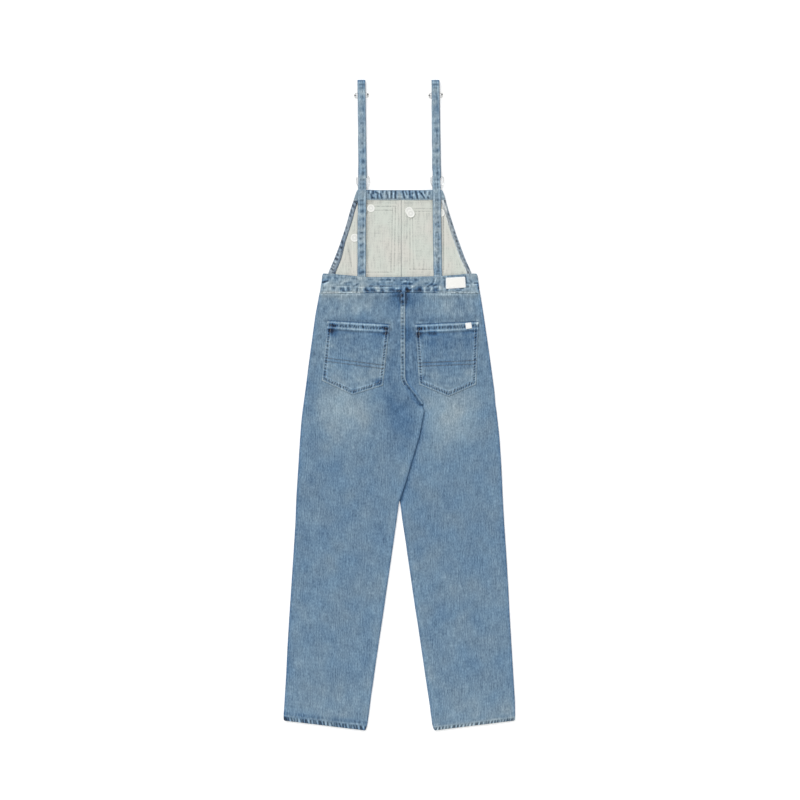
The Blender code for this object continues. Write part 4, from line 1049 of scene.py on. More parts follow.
class DUNGAREES_OT_backs(bpy.types.Operator):
    """Lay the two back leg panels, creased and worn, with their roped hems"""

    bl_idname = "dungarees.backs"
    bl_label = "Back legs"

    def execute(self, context):
        spacing = cloth_sizes().spacing / MM
        for name, side in SIDES.items():
            x, y, z, lean, side_away, inner_away, hem_away = leg_grid(side, 1, spacing)
            z = z + lean * leg_relief(x, y, side, side_away, hem_away, SEED[name])
            tone = leg_tone(x, y, side, side_away, inner_away, hem_away, SEED[name])
            if side > 0:
                # Painted shadow of the left leg's lapping edge on the right leg
                lip = outline("back_leg_left", 1, y[:, 0], 1)[:, None]
                tone -= 0.26 * fade(np.maximum(x - lip, 0.0), 2.2) * lap(y)
            # Painted shadow beside the seat seam's raised edges, and a broader darker strip near the
            # waistband
            beside = fade(np.maximum(inner_away - 0.5 * SEAM_WIDTH, 0.0), 2.2) * ease(-4.0, 12.0, y)
            tone -= beside * (0.12 if side > 0 else 0.05) + beside ** 0.25 * 0.16 * ease(228.0, 252.0, y)
            ply = np.where(hem_away < HEM_DEPTH, DOUBLE, PLY)
            hem = HEMS[name]
            # Greyer darkening in the furrows of the roped hem, carried by the shade attribute
            furrow_greying = -hem.shade * ease(hem.ridged + 3.0, hem.ridged - 1.0, hem_away)
            cloth("cloth_back_" + name, "back_leg_" + name, np.dstack([x, y, z]), ply, tone,
                  narrow=2.0 * NARROW, grey=furrow_greying * hem_furrows(x, hem_away, side))
        return {"FINISHED"}


class DUNGAREES_OT_fronts(bpy.types.Operator):
    """Lay the two front leg panels on the surface under the backs"""

    bl_idname = "dungarees.fronts"
    bl_label = "Front legs"

    def execute(self, context):
        spacing = 1.6 * cloth_sizes().spacing / MM
        for name, side in SIDES.items():
            x, y, z, _, side_away, inner_away, hem_away = leg_grid(side, -1, spacing)
            tone = leg_tone(x, y, side, side_away, inner_away, hem_away, SEED[name] + 9)
            ply = np.where(hem_away < HEM_DEPTH, DOUBLE, PLY)
            cloth("cloth_front_" + name, "front_leg_" + name, np.dstack([x, y, z]), ply, tone, face=-1)
        return {"FINISHED"}


# Seat seam, waistband and pockets

def seat_line(y):
    """Middle between the inner edges of the two back panels."""
    return (outline("back_leg_left", 1, y, 1) + outline("back_leg_right", 1, y, -1)) / 2.0


class DUNGAREES_OT_seat_seam(bpy.types.Operator):
    """Lay the felled seam from the waistband to the crotch over both back panels"""

    bl_idname = "dungarees.seat_seam"
    bl_label = "Seat seam"

    def execute(self, context):
        y = np.linspace(LEG_TOP["inner"], FOLD_START[0], 240)
        x = np.convolve(np.pad(seat_line(y), 8, "edge"), np.ones(17) / 17.0, "valid")
        slope = np.stack([np.gradient(x), np.gradient(y)], axis=1)
        across = np.stack([-slope[:, 1], slope[:, 0]], axis=1) / np.linalg.norm(slope, axis=1)[:, None]
        parts = np.linspace(-1.0, 1.0, 13)[None]
        places = np.stack([x, y], axis=1)[:, None] + across[:, None] * parts[..., None] * SEAM_WIDTH / 2.0
        x, along = places[..., 0], places[..., 1]
        wear = spots(SEAM_WEAR, x, along)
        height = LEG_HEIGHT + RISE * lap(y)[:, None] + GAP + TRIM - 0.35 * parts ** 6
        height = height + trouser_relief(x, along) + 0.6 * np.minimum(wear, 0.0)
        height += WAIST_RISE * ease(*RISE_Y, along) - 1.3 * ease(268.4, 270.6, along)
        height -= 1.1 * ease(62.0, 40.0, along) * parts ** 4
        heights, right, left = zip(*reversed(SEAM_RAILS))
        way = parts * across[:, :1]
        rails = np.interp(along, heights, right) * bell(way - 0.84, 0.24)
        rails += np.interp(along, heights, left) * bell(way + 0.84, 0.22)
        tone = TONE["seat_seam"] + 0.07 * ease(40.0, 60.0, along) + 0.20 * rails + wear
        tone += creased(BEND_SHADE_LINES, x, along)
        tone += spots(FADES, x, along) * 0.4 - 0.10 * ease(236.0, 246.0, along)
        tone -= 0.18 * ease(14.0, -4.0, along) - 0.14 * ease(60.0, 40.0, along) * way
        cloth("cloth_seat_seam", "seat_seam", np.dstack([places, height]), TRIM, tone)
        return {"FINISHED"}


def band_grid(node, face, spacing):
    """Outer points of half of the waistband's tube, with the share of its height that each lies at."""
    low_left, high_left = corner(node, -1, -1), corner(node, -1, 1)
    low_right, high_right = corner(node, 1, -1), corner(node, 1, 1)
    share = np.linspace(0.0, 1.0, 37 if face > 0 else 9)[:, None]
    rounding = 2.2 * fade(1.0 - share, 0.07)
    left = low_left.x + (high_left.x - low_left.x) * share + BAND_INSET["left"] + rounding
    right = low_right.x + (high_right.x - low_right.x) * share - BAND_INSET["right"] - rounding
    radius = BAND_HEIGHT / 2.0
    angles = np.radians(np.linspace(0.0, 90.0, CURL_STEPS))
    turn = radius * (1.0 - np.cos(angles))
    count = int((low_right.x - low_left.x) / spacing)
    flat = (left + radius) + (right - left - 2.0 * radius) * np.arange(1, count) / count
    x = np.hstack([left + turn, flat, right - turn[::-1]])
    lean = np.hstack([np.sin(angles), np.ones(count - 1), np.sin(angles[::-1])]) + 0.0 * x
    foot, top = (np.interp(x, x[0], outline(node, 0, x[0], side)) for side in (-1, 1))
    top = top + END_RISE * ease(135.0, 160.0, abs(x))
    z = radius + face * np.maximum(radius * lean, GAP / 2.0)
    return x, foot + (top - foot) * share, z, lean, share + 0.0 * x


class DUNGAREES_OT_waistband(bpy.types.Operator):
    """Lay the waistband, puckered between its rows of stitches and roped along its lower seam"""

    bl_idname = "dungarees.waistband"
    bl_label = "Waistband"

    def execute(self, context):
        spacing = cloth_sizes().fine_spacing / MM
        ridge = cloth_sizes().roping / MM
        x, y, z, lean, share = band_grid("waistband_back", 1, 0.5 * spacing)
        creases = creased(BAND_CREASES, x, y)
        pucker = roping(x, share, 13.0, 0.9, 72) * (0.5 + 0.5 * uneven(x, y, 60.0, 73))
        relief = 0.8 * creases * (1.0 - bell(share, 0.07)) + 0.3 * ridge * pucker
        relief += 0.25 * uneven(x, y, 30.0, 74) - BAND_CROWN * (2.0 * share - 1.0) ** 2
        relief -= 0.4 * bell(1.0 - share, 0.045)
        tone = TONE["waistband_back"] + 0.06 * ease(40.0, 150.0, abs(x)) + spots(BAND_WEAR, x, y) + creases
        tone += 0.07 * pucker + 0.06 * uneven(x, y, 16.0, 76) + 0.06 * uneven(x, 2.0 * y, 34.0, 77)
        tone += 0.10 * bell(y - 279.5, 6.0) + 0.05 * bell(y - 300.0, 5.0) + 0.05 * ease(0.8, 0.9, share)
        # Light rail along the lower seam: the rubbed seam, drawn lighter as painted light over the shade at
        # the waistband's foot
        rail = np.interp(x, *zip(*BAND_RAIL)) * (0.7 + 0.3 * roping(x, 0.0, 9.0, 0.0, 79))
        tone += (0.52 * rail - 0.06) * bell(share, 0.06)
        cloth("cloth_waistband_back", "waistband_back", np.dstack([x, y, z + lean * relief]), DOUBLE, tone,
              inner="denim")
        x, y, z, _, share = band_grid("waistband_front", -1, 3.0 * spacing)
        tone = TONE["waistband_front"] + 0.06 * roping(x, share, 15.0, 0.5, 78)
        cloth("cloth_waistband_front", "waistband_front", np.dstack([x, y, z]), DOUBLE, tone, face=-1,
              inner="denim")
        return {"FINISHED"}


def pocket_corners(name):
    """The five corners of a back pocket."""
    node = "back_pocket_" + name
    ways = {"top_left": (-1, 1), "top_right": (1, 1), "foot_left": (-1, -0.3), "point": (0, -1),
            "foot_right": (1, -0.3)}
    return {key: corner(node, *way) for key, way in ways.items()}


def across_pocket(ends, left, right):
    """The ends of a line across a pocket, at shares of the height of its left and right edge."""
    return [ends["top_left"].lerp(ends["foot_left"], left), ends["top_right"].lerp(ends["foot_right"], right)]


def away_from(x, y, start, end):
    """Distance of places from the line through two corners."""
    run = end - start
    return abs((x - start.x) * run.y - (y - start.y) * run.x) / run.length


def pocket_grid(ends):
    """Points over a pocket's five corners, and the share of its height that each lies at."""
    across = np.linspace(0.0, 1.0, 61)[None, :, None]
    down = np.linspace(0.0, 1.0, 67)[:, None, None]
    top_left, top_right, foot_left, point, foot_right = (np.array(place) for place in ends.values())
    top = top_left + (top_right - top_left) * across
    foot = np.where(across < 0.5, foot_left + (point - foot_left) * across * 2.0,
                    point + (foot_right - point) * (across * 2.0 - 1.0))
    places = top + (foot - top) * down
    return places[..., 0], places[..., 1], down[..., 0] + 0.0 * places[..., 0]


class DUNGAREES_OT_back_pockets(bpy.types.Operator):
    """Lay the two back pockets, with a thick hem, roped edges and a felled seam across each"""

    bl_idname = "dungarees.back_pockets"
    bl_label = "Back pockets"

    def execute(self, context):
        for name in SIDES:
            self.lay(name, pocket_corners(name), SEED[name] + 11)
        return {"FINISHED"}

    def lay(self, name, ends, seed):
        x, y, down = pocket_grid(ends)
        sides = np.minimum(away_from(x, y, ends["top_left"], ends["foot_left"]),
                           away_from(x, y, ends["top_right"], ends["foot_right"]))
        feet = np.minimum(away_from(x, y, ends["foot_left"], ends["point"]),
                          away_from(x, y, ends["point"], ends["foot_right"]))
        edge = np.minimum(sides, feet)
        brim = away_from(x, y, ends["top_left"], ends["top_right"])
        hem = ease(POCKET_HEM + 0.012, POCKET_HEM - 0.012, down)
        footed = ease(2.0, -2.0, feet - sides)
        along = np.where(feet < sides, x * 1.05, y)
        channel = bell(edge - 6.0 - 1.2 * footed, 2.3 + 1.2 * footed) * (1.0 - hem)
        brim_channel = bell(brim - 11.6, 3.6)
        notches = roping(along, edge / 8.0, 6.8, 0.35, seed) * (1.0 - footed)
        slant = -0.4 * np.sign(x - ends["point"].x)
        notches += 1.15 * footed * roping(along, edge / 10.0, 5.9, slant, seed + 1)
        brim_notches = roping(x, brim / 12.0, 6.6, -0.4, seed + 2)
        yoke = sum(bell(away_from(x, y, *across_pocket(ends, *row)), 1.5) for row in POCKET_YOKE[name])
        height = LEG_HEIGHT + GAP + PLY + (POCKET_HEM_PLY - PLY) * hem + trouser_relief(x, y) - 0.25 * yoke
        ridge = cloth_sizes().roping / MM
        height += ridge * (0.5 * notches * channel + 0.6 * brim_notches * brim_channel * hem)
        height -= 0.45 * fade(np.minimum(edge, brim), 0.9)
        tone = TONE["pocket_" + name] + 0.13 * ease(0.2, 1.0, down)
        tone += 0.04 * uneven(x, y, 34.0, seed + 4) + 0.06 * uneven(x, y, 13.0, seed + 5)
        fray = 0.7 + 0.3 * roping(along, 0.0, 5.0, 0.0, seed + 6)
        tone += 0.34 * fray * bell(edge - 1.2, 1.5)
        tone += 0.28 * fray * bell(edge - 10.4 - 1.6 * footed, 1.5) * (1.0 - hem)
        tone += channel * (0.14 * np.maximum(-notches, 0.0) - 0.06 - 1.05 * np.maximum(notches, 0.0))
        rails = bell(brim - 5.0, 1.7) + bell(brim - 18.2, 1.7)
        # Lighter hem with its rails, and a painted shadow along the pocket's top edge
        tone += hem * (0.16 + 0.27 * rails) - 0.56 * bell(brim - 0.4, 2.0)
        tone -= hem * brim_channel * (0.12 + 1.25 * np.maximum(brim_notches, 0.0))
        # Painted shade below the thick hem's lower edge, and darker along the seam across
        tone -= 0.22 * bell(brim - 22.5, 2.8) + 0.20 * yoke
        for pockets, key, beside_x, beside_y, reach, change in POCKET_MARKS:
            if name in pockets:
                place = ends[key] + Vector((beside_x, beside_y))
                tone += spots([(*place, reach, reach, change)], x, y)
        ply = np.where(down < POCKET_HEM, POCKET_HEM_PLY, PLY)
        cloth("cloth_pocket_" + name, "back_pocket_" + name, np.dstack([x, y, height]), ply, tone)


def patch_grid(ends, columns, rows, round_off):
    """Points of a four-cornered patch with rounded corners, and how near its border each one lies (mm)."""
    width, height = np.linalg.norm(ends[1] - ends[0]), np.linalg.norm(ends[3] - ends[0])
    u, v = np.meshgrid(np.linspace(-1.0, 1.0, columns), np.linspace(1.0, -1.0, rows))
    reach_x, reach_y = width / 2.0, height / 2.0
    px, py = u * reach_x, v * reach_y
    over_x, over_y = abs(px) - (reach_x - round_off), abs(py) - (reach_y - round_off)
    over = np.hypot(np.maximum(over_x, 0.0), np.maximum(over_y, 0.0))
    pull = np.where((over_x > 0.0) & (over_y > 0.0) & (over > 0.0),
                    np.maximum(over_x, over_y) / np.maximum(over, 1e-6), 1.0)
    px = np.where(over_x > 0.0, np.sign(px) * (reach_x - round_off + over_x * pull), px)
    py = np.where(over_y > 0.0, np.sign(py) * (reach_y - round_off + over_y * pull), py)
    u, v = (px / reach_x + 1.0) / 2.0, (1.0 - py / reach_y) / 2.0
    u, v = u[..., None], v[..., None]
    places = (ends[0] * (1 - u) + ends[1] * u) * (1 - v) + (ends[3] * (1 - u) + ends[2] * u) * v
    border = np.minimum(reach_x - abs(px), reach_y - abs(py))
    return places, border


class DUNGAREES_OT_labels(bpy.types.Operator):
    """Lay the bare label on the waistband and the bare tab on the right pocket"""

    bl_idname = "dungarees.labels"
    bl_label = "Label and tab"

    def execute(self, context):
        ways = np.array(((-1, 1), (1, 1), (1, -1), (-1, -1)))
        ends = np.array([corner("label_patch", *way) for way in ways]) + LABEL_OVER * ways - (0.0, LABEL_DROP)
        self.lay("label", "label_patch", "cloth_waistband_back", ends, 2.4, 1.2)
        self.lay("tab", "pocket_tab", "cloth_pocket_right", np.array(TAB_CORNERS), 1.0, 0.9)
        return {"FINISHED"}

    def lay(self, name, node, carrier, ends, round_off, spacing):
        low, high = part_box(node)
        columns, rows = int((high.x - low.x) / MM / spacing), int((high.y - low.y) / MM / spacing)
        places, border = patch_grid(ends, columns, rows, round_off)
        x, y = places[..., 0], places[..., 1]
        height = high.z / MM - 0.5 * fade(border, 0.5) + 0.1 * uneven(x, y, 14.0, 80)
        height += 0.12 * bell(border - 1.6, 0.5) * roping(x + y, 0.0, 2.6, 0.0, 81)
        cream = ease(2.2, 3.4, border) if name == "label" else 0.0 * x
        cloth("woven_" + name, node, np.dstack([x, y, height]), TRIM, cream, finish="label")


# Bib

def bib_under(x, y, edge_x):
    """Height of the bib's underside: on the surface at its side edges, over its pockets and its buttons."""
    height = POCKET_LAYER * ease(0.0, 10.0, abs(x - edge_x))
    for buckle_x in BUCKLE_X.values():
        across = np.maximum(abs(x - buckle_x) - BUTTON_REACH, 0.0) / BUTTON_SLOPE[0]
        down = np.maximum(FACING_FOOT - y, 0.0) / BUTTON_SLOPE[1]
        away = ease(0.0, 1.0, across + down)
        height = np.maximum(height, BUTTON_LAYER - (BUTTON_LAYER - POCKET_LAYER) * away)
    return height


def bib_relief(x, y):
    """Troughs along the lines that sew the outer pockets on, and the soft waves between them."""
    relief = 0.35 * uneven(x, y * 0.6, 46.0, 90) + 0.15 * uneven(x, y, 17.0, 91)
    for line in BIB_LINES:
        away = away_from_run(x, y, *line)
        relief = relief - 0.4 * bell(away, 1.7)
        relief = relief + 0.22 * bell(away - 4.5, 3.0) * roping(x + y, 0.0, 9.0, 0.0, 92)
    return relief


def bib_tone(x, y):
    """Shade of the wrong side: darker in the sewn troughs, mottled between."""
    tone = TONE["bib"] + 0.03 * uneven(x, y, 26.0, 93) + 0.03 * uneven(x, y * 0.25, 12.0, 94)
    # Darker along the lines that sew the outer pockets on: painted shade in their troughs, with a lighter
    # line beside each
    for line in BIB_LINES:
        away = away_from_run(x, y, *line)
        waver = 0.6 + 0.4 * roping(x + y, 0.0, 8.4, 0.0, 95)
        tone = tone - 0.20 * waver * bell(away, 1.5) + 0.08 * bell(away - 3.2, 1.4)
    for start, end, change in BIB_FOLD_LIGHT_AND_MARKS:
        tone = tone + change * bell(away_from_run(x, y, start, end), 1.9)
    puckers = bell(y - 336.0, 9.0) + 0.8 * bell(y - 462.0, 8.0)
    return tone + 0.09 * roping(x, 0.0, 8.0, 0.0, 98) * puckers * ease(10.0, 22.0, abs(x - BIB_SEAM))


def bib_hem_width(name, y):
    """Width of the bib's turned edge; the left one widens towards the waistband."""
    if name == "left":
        return np.interp(y, (345.0, 362.0, 375.0, 390.0), (17.0, 15.4, 13.2, 11.3))
    return 11.6 + 0.0 * y


class DUNGAREES_OT_bib(bpy.types.Operator):
    """Lay both halves of the bib, pale side up, with its turned edges and the facing along its top"""

    bl_idname = "dungarees.bib"
    bl_label = "Bib"

    def execute(self, context):
        spacing = cloth_sizes().fine_spacing / MM
        rows = np.linspace(BIB_FOOT, BIB_TOP, int((BIB_TOP - BIB_FOOT) / spacing))
        for name, side in SIDES.items():
            self.lay_half(name, side, rows)
            self.lay_hem(name, side, rows[rows < FACING_FOOT - GAP])
            self.lay_pocket(name)
        self.lay_facing()
        return {"FINISHED"}

    def lay_half(self, name, side, rows):
        edge_x = outline("bib_" + name, 1, rows, side)[:, None]
        seam_x = BIB_SEAM + side * GAP / 2.0
        x = edge_x + (seam_x - edge_x) * np.linspace(0.0, 1.0, 96)
        y = rows[:, None] + 0.0 * x
        seam_away, edge_away = abs(x - seam_x), abs(x - edge_x)
        relief = bib_relief(x, y) * ease(2.0, 9.0, edge_away)
        relief += 0.5 * bell(seam_away - 3.0, 2.4) - 0.3 * fade(seam_away, 0.8)
        tone = bib_tone(x, y) - 0.08 * fade(seam_away, 1.0)
        tone += 0.10 * bell(seam_away - 3.6, 1.2) * (side > 0) - 0.05 * bell(seam_away - 7.0, 1.1)
        beside = x - STRAP_BEND[name][0][1]
        # Painted shadow right of the left strap, and painted light left of each strap that lifts its shadow
        tone -= 0.13 * bell(beside - STRAP_WIDTH / 2.0 - 2.4, 4.0) * (side < 0)
        tone += 0.25 * bell(beside + STRAP_WIDTH / 2.0 + 1.0, 3.0)
        tone += 0.16 * bell(edge_away - bib_hem_width(name, y) - 2.5, 2.2)
        height = bib_under(x, y, edge_x) + PLY + np.maximum(relief, -0.2)
        cloth("cloth_bib_" + name, "bib_" + name, np.dstack([x, y, height]), PLY, tone, finish="denim_inside")

    def lay_hem(self, name, side, rows):
        edge_x = outline("bib_" + name, 1, rows, side)[:, None]
        share = np.linspace(0.0, 1.0, 13)[None]
        x = edge_x - side * bib_hem_width(name, rows[:, None]) * share
        y = rows[:, None] + 0.0 * x
        hem = BIB_HEMS[name]
        wear = creased(BIB_HEM_WEAR[name], x, y)
        ridge = cloth_sizes().roping / MM
        height = bib_under(x, y, edge_x) + 2.0 * PLY + GAP + ridge * np.clip(wear, -0.8, 0.5)
        height -= 0.4 * fade(share, 0.1) + 0.4 * fade(1.0 - share, 0.1)
        tone = hem.tone + 0.85 * wear + 0.07 * uneven(x, y, 8.0, 96 + side)
        # Darker at the outer edge, and a painted shadow of the fold beside the inner edge
        tone -= 0.26 * fade(share, 0.10) + hem.dark * bell(0.92 - share, 0.20)
        tone += hem.light * ease(0.80, 0.97, share)
        cloth("cloth_bib_hem_" + name, "bib_hem_" + name, np.dstack([x, y, height]), PLY, tone,
              finish="worn_denim")

    def lay_pocket(self, name):
        heights, lefts, rights = zip(*BIB_POCKETS[name])
        y = np.linspace(heights[0], heights[-1], 24)[:, None]
        left, right = np.interp(y, heights, lefts), np.interp(y, heights, rights)
        x = left + (right - left) * np.linspace(0.0, 1.0, 18)
        tone = TONE["bib_pocket"] + 0.05 * uneven(x, y, 30.0, 97)
        places = np.dstack([x, y + 0.0 * x, 0.0 * x])
        cloth("cloth_bib_pocket_" + name, "bib_pocket_" + name, places, PLY, tone, face=-1)

    def lay_facing(self):
        rows = np.linspace(FACING_FOOT, BIB_TOP, 17)
        left, right = (outline("bib_facing", 1, rows, side)[:, None] for side in (-1, 1))
        x = left + (right - left) * np.linspace(0.0, 1.0, 121)
        y = rows[:, None] + 0.0 * x
        share = (y - FACING_FOOT) / (BIB_TOP - FACING_FOOT)
        wear = creased(FACING_WEAR, x, y)
        under = bib_under(x, y, np.where(x < BIB_SEAM, left, right))
        ridge = cloth_sizes().roping / MM
        height = under + 2.0 * PLY + GAP + ridge * np.clip(1.4 * wear, -1.0, 0.6)
        height -= 0.5 * (bell(share, 0.06) + bell(1.0 - share, 0.06))
        tone = TONE["facing"] + wear + 0.05 * uneven(x, 2.0 * y, 9.0, 100) - 0.26 * bell(1.0 - share, 0.07)
        tone += 0.12 * bell(share, 0.06) - 0.14 * bell(share - 0.15, 0.06)
        cloth("cloth_bib_facing", "bib_facing", np.dstack([x, y, height]), PLY, tone)


# Straps

def run_points(run, step):
    """Points along a run of the strap, its height eased from row to row."""
    points = [run[0]]
    for (y0, z0), (y1, z1) in zip(run, run[1:]):
        for share in np.linspace(0.0, 1.0, max(int(abs(y1 - y0) / step), 4) + 1)[1:]:
            points.append((y0 + (y1 - y0) * share, z0 + (z1 - z0) * ease(0.0, 1.0, share)))
    return points


def turn_points(y, z_from, z_to, way):
    """Points round a fold of the strap at y, bulging up the garment (way 1) or down it (way -1)."""
    middle, radius = (z_from + z_to) / 2.0, abs(z_to - z_from) / 2.0
    start = math.copysign(math.pi / 2.0, z_from - z_to)
    angles = np.linspace(start, -start, 14)[1:-1]
    return [(y + way * radius * math.cos(angle), middle + radius * math.sin(angle)) for angle in angles]


class DUNGAREES_OT_straps(bpy.types.Operator):
    """Lay the two straps from the waistband over the top fold and back through the buckles"""

    bl_idname = "dungarees.straps"
    bl_label = "Straps"

    def execute(self, context):
        step = cloth_sizes().fine_spacing / MM
        upper = run_points(UPPER_RUN, step)
        fold = turn_points(*UPPER_RUN[-1], UNDER_RUN[0][1], 1)
        lower = run_points(UNDER_RUN, 2.0 * step)
        lower += turn_points(*UNDER_RUN[-1], RETURN_RUN[0][1], -1)
        lower += run_points(RETURN_RUN, 2.0 * step)
        path = np.array(upper + fold + lower)
        number = np.arange(len(path))[:, None]
        for name in SIDES:
            self.lay(name, path, number < len(upper), number < len(upper) + len(fold) // 2)
        return {"FINISHED"}

    def lay(self, name, path, top, shown):
        """One strap: its path up and along, and where it lies on top and where it is seen from above."""
        seed = SEED[name] + 70
        up, level = path[:, :1], path[:, 1:]
        slope = np.gradient(path, axis=0)
        slope /= np.linalg.norm(slope, axis=1)[:, None]
        run = np.concatenate([[0.0], np.linalg.norm(np.diff(path, axis=0), axis=1).cumsum()])[:, None]
        parts = np.linspace(-1.0, 1.0, 15)[None]
        share = np.clip((up - BUCKLE_BAR) / (TOP_FOLD - BUCKLE_BAR), 0.0, 1.0)
        fold_x = STRAP_BEND[name][-1][1]
        under_x = BUCKLE_X[name] + (fold_x - BUCKLE_X[name]) * share
        middle = np.where(top, np.interp(up, *zip(*STRAP_BEND[name])), under_x)
        ropes = roping(run, 0.5 * parts, 14.0, 0.25, seed)
        ropes = ropes * (0.7 + 0.3 * roping(run, 0.0, 47.0, 0.0, seed + 2))
        lanes = bell(abs(parts + 0.05) - 0.36, 0.20)
        ridge = cloth_sizes().roping / MM
        crown = 1.0 - parts ** 2
        lift = STRAP_PLY / 2.0 - 0.45 * parts ** 8
        lift = lift + np.where(shown, 0.5 * ridge * ropes * crown - 0.25 * lanes + 0.12 * crown, 0.0)
        y = up - slope[:, 1:] * lift
        z = np.maximum(level + slope[:, :1] * lift, 0.0)
        width = STRAP_WIDTH - STRAP_NARROW * ease(505.0, 545.0, up)
        x = middle + parts * width / 2.0 + np.where(shown, 0.35 * uneven(run, 0.0, 38.0, seed + 4), 0.0)
        rail = ease(525.0, 500.0, up) * bell(-SIDES[name] * parts - 0.62, 0.14)
        tone = TONE["strap"] - 0.06 * bell(parts - 0.15, 0.35) + 0.14 * rail - 0.05 * lanes
        tone = tone - 0.36 * abs(parts) ** 9
        tone = tone + 0.10 * uneven(run, 4.0 * parts, 18.0, seed + 5) + 0.06 * ropes * lanes
        place = (x - middle, up + 0.0 * parts)
        marks = 0.66 * spots(STRAP_WEAR, *place) + 0.8 * spots(LOW_STRAP_WEAR[name], *place)
        tone += np.where(shown, marks, -0.5 * lanes * np.maximum(ropes, 0.0))
        # Painted shadow along the strap's top fold
        tone -= 0.2 * bell(up - TOP_FOLD, 3.2)
        cloth("cloth_strap_" + name, "strap_" + name, np.dstack([x, y, z]), STRAP_PLY, tone,
              inner="denim")


# Metal and discs

def footing(node):
    """Middle of the foot of a CAD node's box in metres, and the box's radius across and its height in mm."""
    low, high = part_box(node)
    place = Vector(((low.x + high.x) / 2.0, (low.y + high.y) / 2.0, low.z))
    return place, (high.x - low.x) / MM / 2.0, (high.z - low.z) / MM


def turned(name, profile, place):
    """A round piece turned from a profile of (radius, height)."""
    bm = bmesh.new()
    ring = [bm.verts.new(Vector((radius, 0.0, height)) * MM) for radius, height in profile]
    edges = [bm.edges.new(pair) for pair in zip(ring, ring[1:])]
    bmesh.ops.spin(bm, geom=ring + edges, cent=(0, 0, 0), axis=(0, 0, 1), angle=math.tau, steps=TURN_STEPS,
                   use_merge=True)
    bmesh.ops.remove_doubles(bm, verts=bm.verts[:], dist=0.00001)
    bmesh.ops.recalc_face_normals(bm, faces=bm.faces[:])
    bmesh.ops.transform(bm, matrix=Matrix.Translation(place), verts=bm.verts[:])
    piece = finish_mesh(bm, name)
    piece.data.set_sharp_from_angle(angle=math.radians(50.0))
    return piece


def arc(middle, radius, start, end, count):
    """Points of a rounded edge in a profile, angles in degrees."""
    angles = np.radians(np.linspace(start, end, count))
    return [(middle[0] + radius * math.cos(angle), middle[1] + radius * math.sin(angle)) for angle in angles]


class DUNGAREES_OT_discs(bpy.types.Operator):
    """Turn the white discs that show on the inside of the bib"""

    bl_idname = "dungarees.discs"
    bl_label = "Discs"

    def execute(self, context):
        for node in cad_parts:
            if node.startswith("disc_"):
                place, radius, _ = footing(node)
                rim = DISC_PLY / 2.0
                profile = [(0.0, 0.0), (radius - rim, 0.0), *arc((radius - rim, rim), rim, -90.0, 90.0, 9)]
                profile += [*arc((radius - 1.9, DISC_PLY - 0.1), 0.1, 60.0, 150.0, 3), (radius - 2.9, 0.42),
                            (2.6, 0.38), (2.2, 0.5), (1.2, 0.55), (0.0, 0.56)]
                disc = turned("white_" + node, profile, place)
                disc.data.materials.append(MATERIALS["disc"])
                disc.data.materials.append(MATERIALS["disc_painted_shade"])
                # Faces in the ring groove take the darker copy, a painted shade
                for polygon in disc.data.polygons:
                    reach = math.hypot(polygon.center.x - place.x, polygon.center.y - place.y) / MM
                    polygon.material_index = int(2.0 < reach < radius - 2.6 and polygon.normal.z > 0.0)
                settle(disc, None, [node])
        return {"FINISHED"}


class DUNGAREES_OT_buttons(bpy.types.Operator):
    """Turn the bib buttons that hold the buckles"""

    bl_idname = "dungarees.buttons"
    bl_label = "Bib buttons"

    def execute(self, context):
        for name in SIDES:
            node = "bib_button_" + name
            place, radius, height = footing(node)
            profile = [(0.0, 0.5), (2.0, 0.5), (3.2, 0.2), (4.6, 0.0), (radius - 0.9, 0.0)]
            profile += [*arc((radius - 0.9, 0.9), 0.9, -90.0, 60.0, 7), (radius - 1.2, 2.0), (3.4, 2.0),
                        (2.5, 2.4), (2.5, height - 0.3), (2.2, height), (0.0, height)]
            settle(turned("nickel_button_" + name, profile, place), MATERIALS["metal"], [node])
        return {"FINISHED"}


class DUNGAREES_OT_buckles(bpy.types.Operator):
    """Bend the wire buckles from the strap's bar to the loop round the button"""

    bl_idname = "dungarees.buckles"
    bl_label = "Buckles"

    def execute(self, context):
        outline_points = list(BUCKLE_HALF) + [(-x, y) for x, y in reversed(BUCKLE_HALF[1:-1])]
        for name in SIDES:
            curve = bpy.data.curves.new("nickel_buckle_" + name, "CURVE")
            curve.dimensions = "3D"
            curve.bevel_depth = WIRE * MM
            curve.bevel_resolution = 4
            curve.resolution_u = 5
            spline = curve.splines.new("BEZIER")
            spline.bezier_points.add(len(outline_points) - 1)
            for point, (x, y) in zip(spline.bezier_points, outline_points):
                point.co = Vector((BUCKLE_X[name] + x, BUCKLE_BAR + y, BUCKLE_HEIGHT)) * MM
                point.handle_left_type = point.handle_right_type = "AUTO"
            spline.use_cyclic_u = True
            piece = bpy.data.objects.new("nickel_buckle_" + name, curve)
            context.scene.collection.objects.link(piece)
            settle(piece, MATERIALS["metal"], ["buckle_" + name])
        return {"FINISHED"}


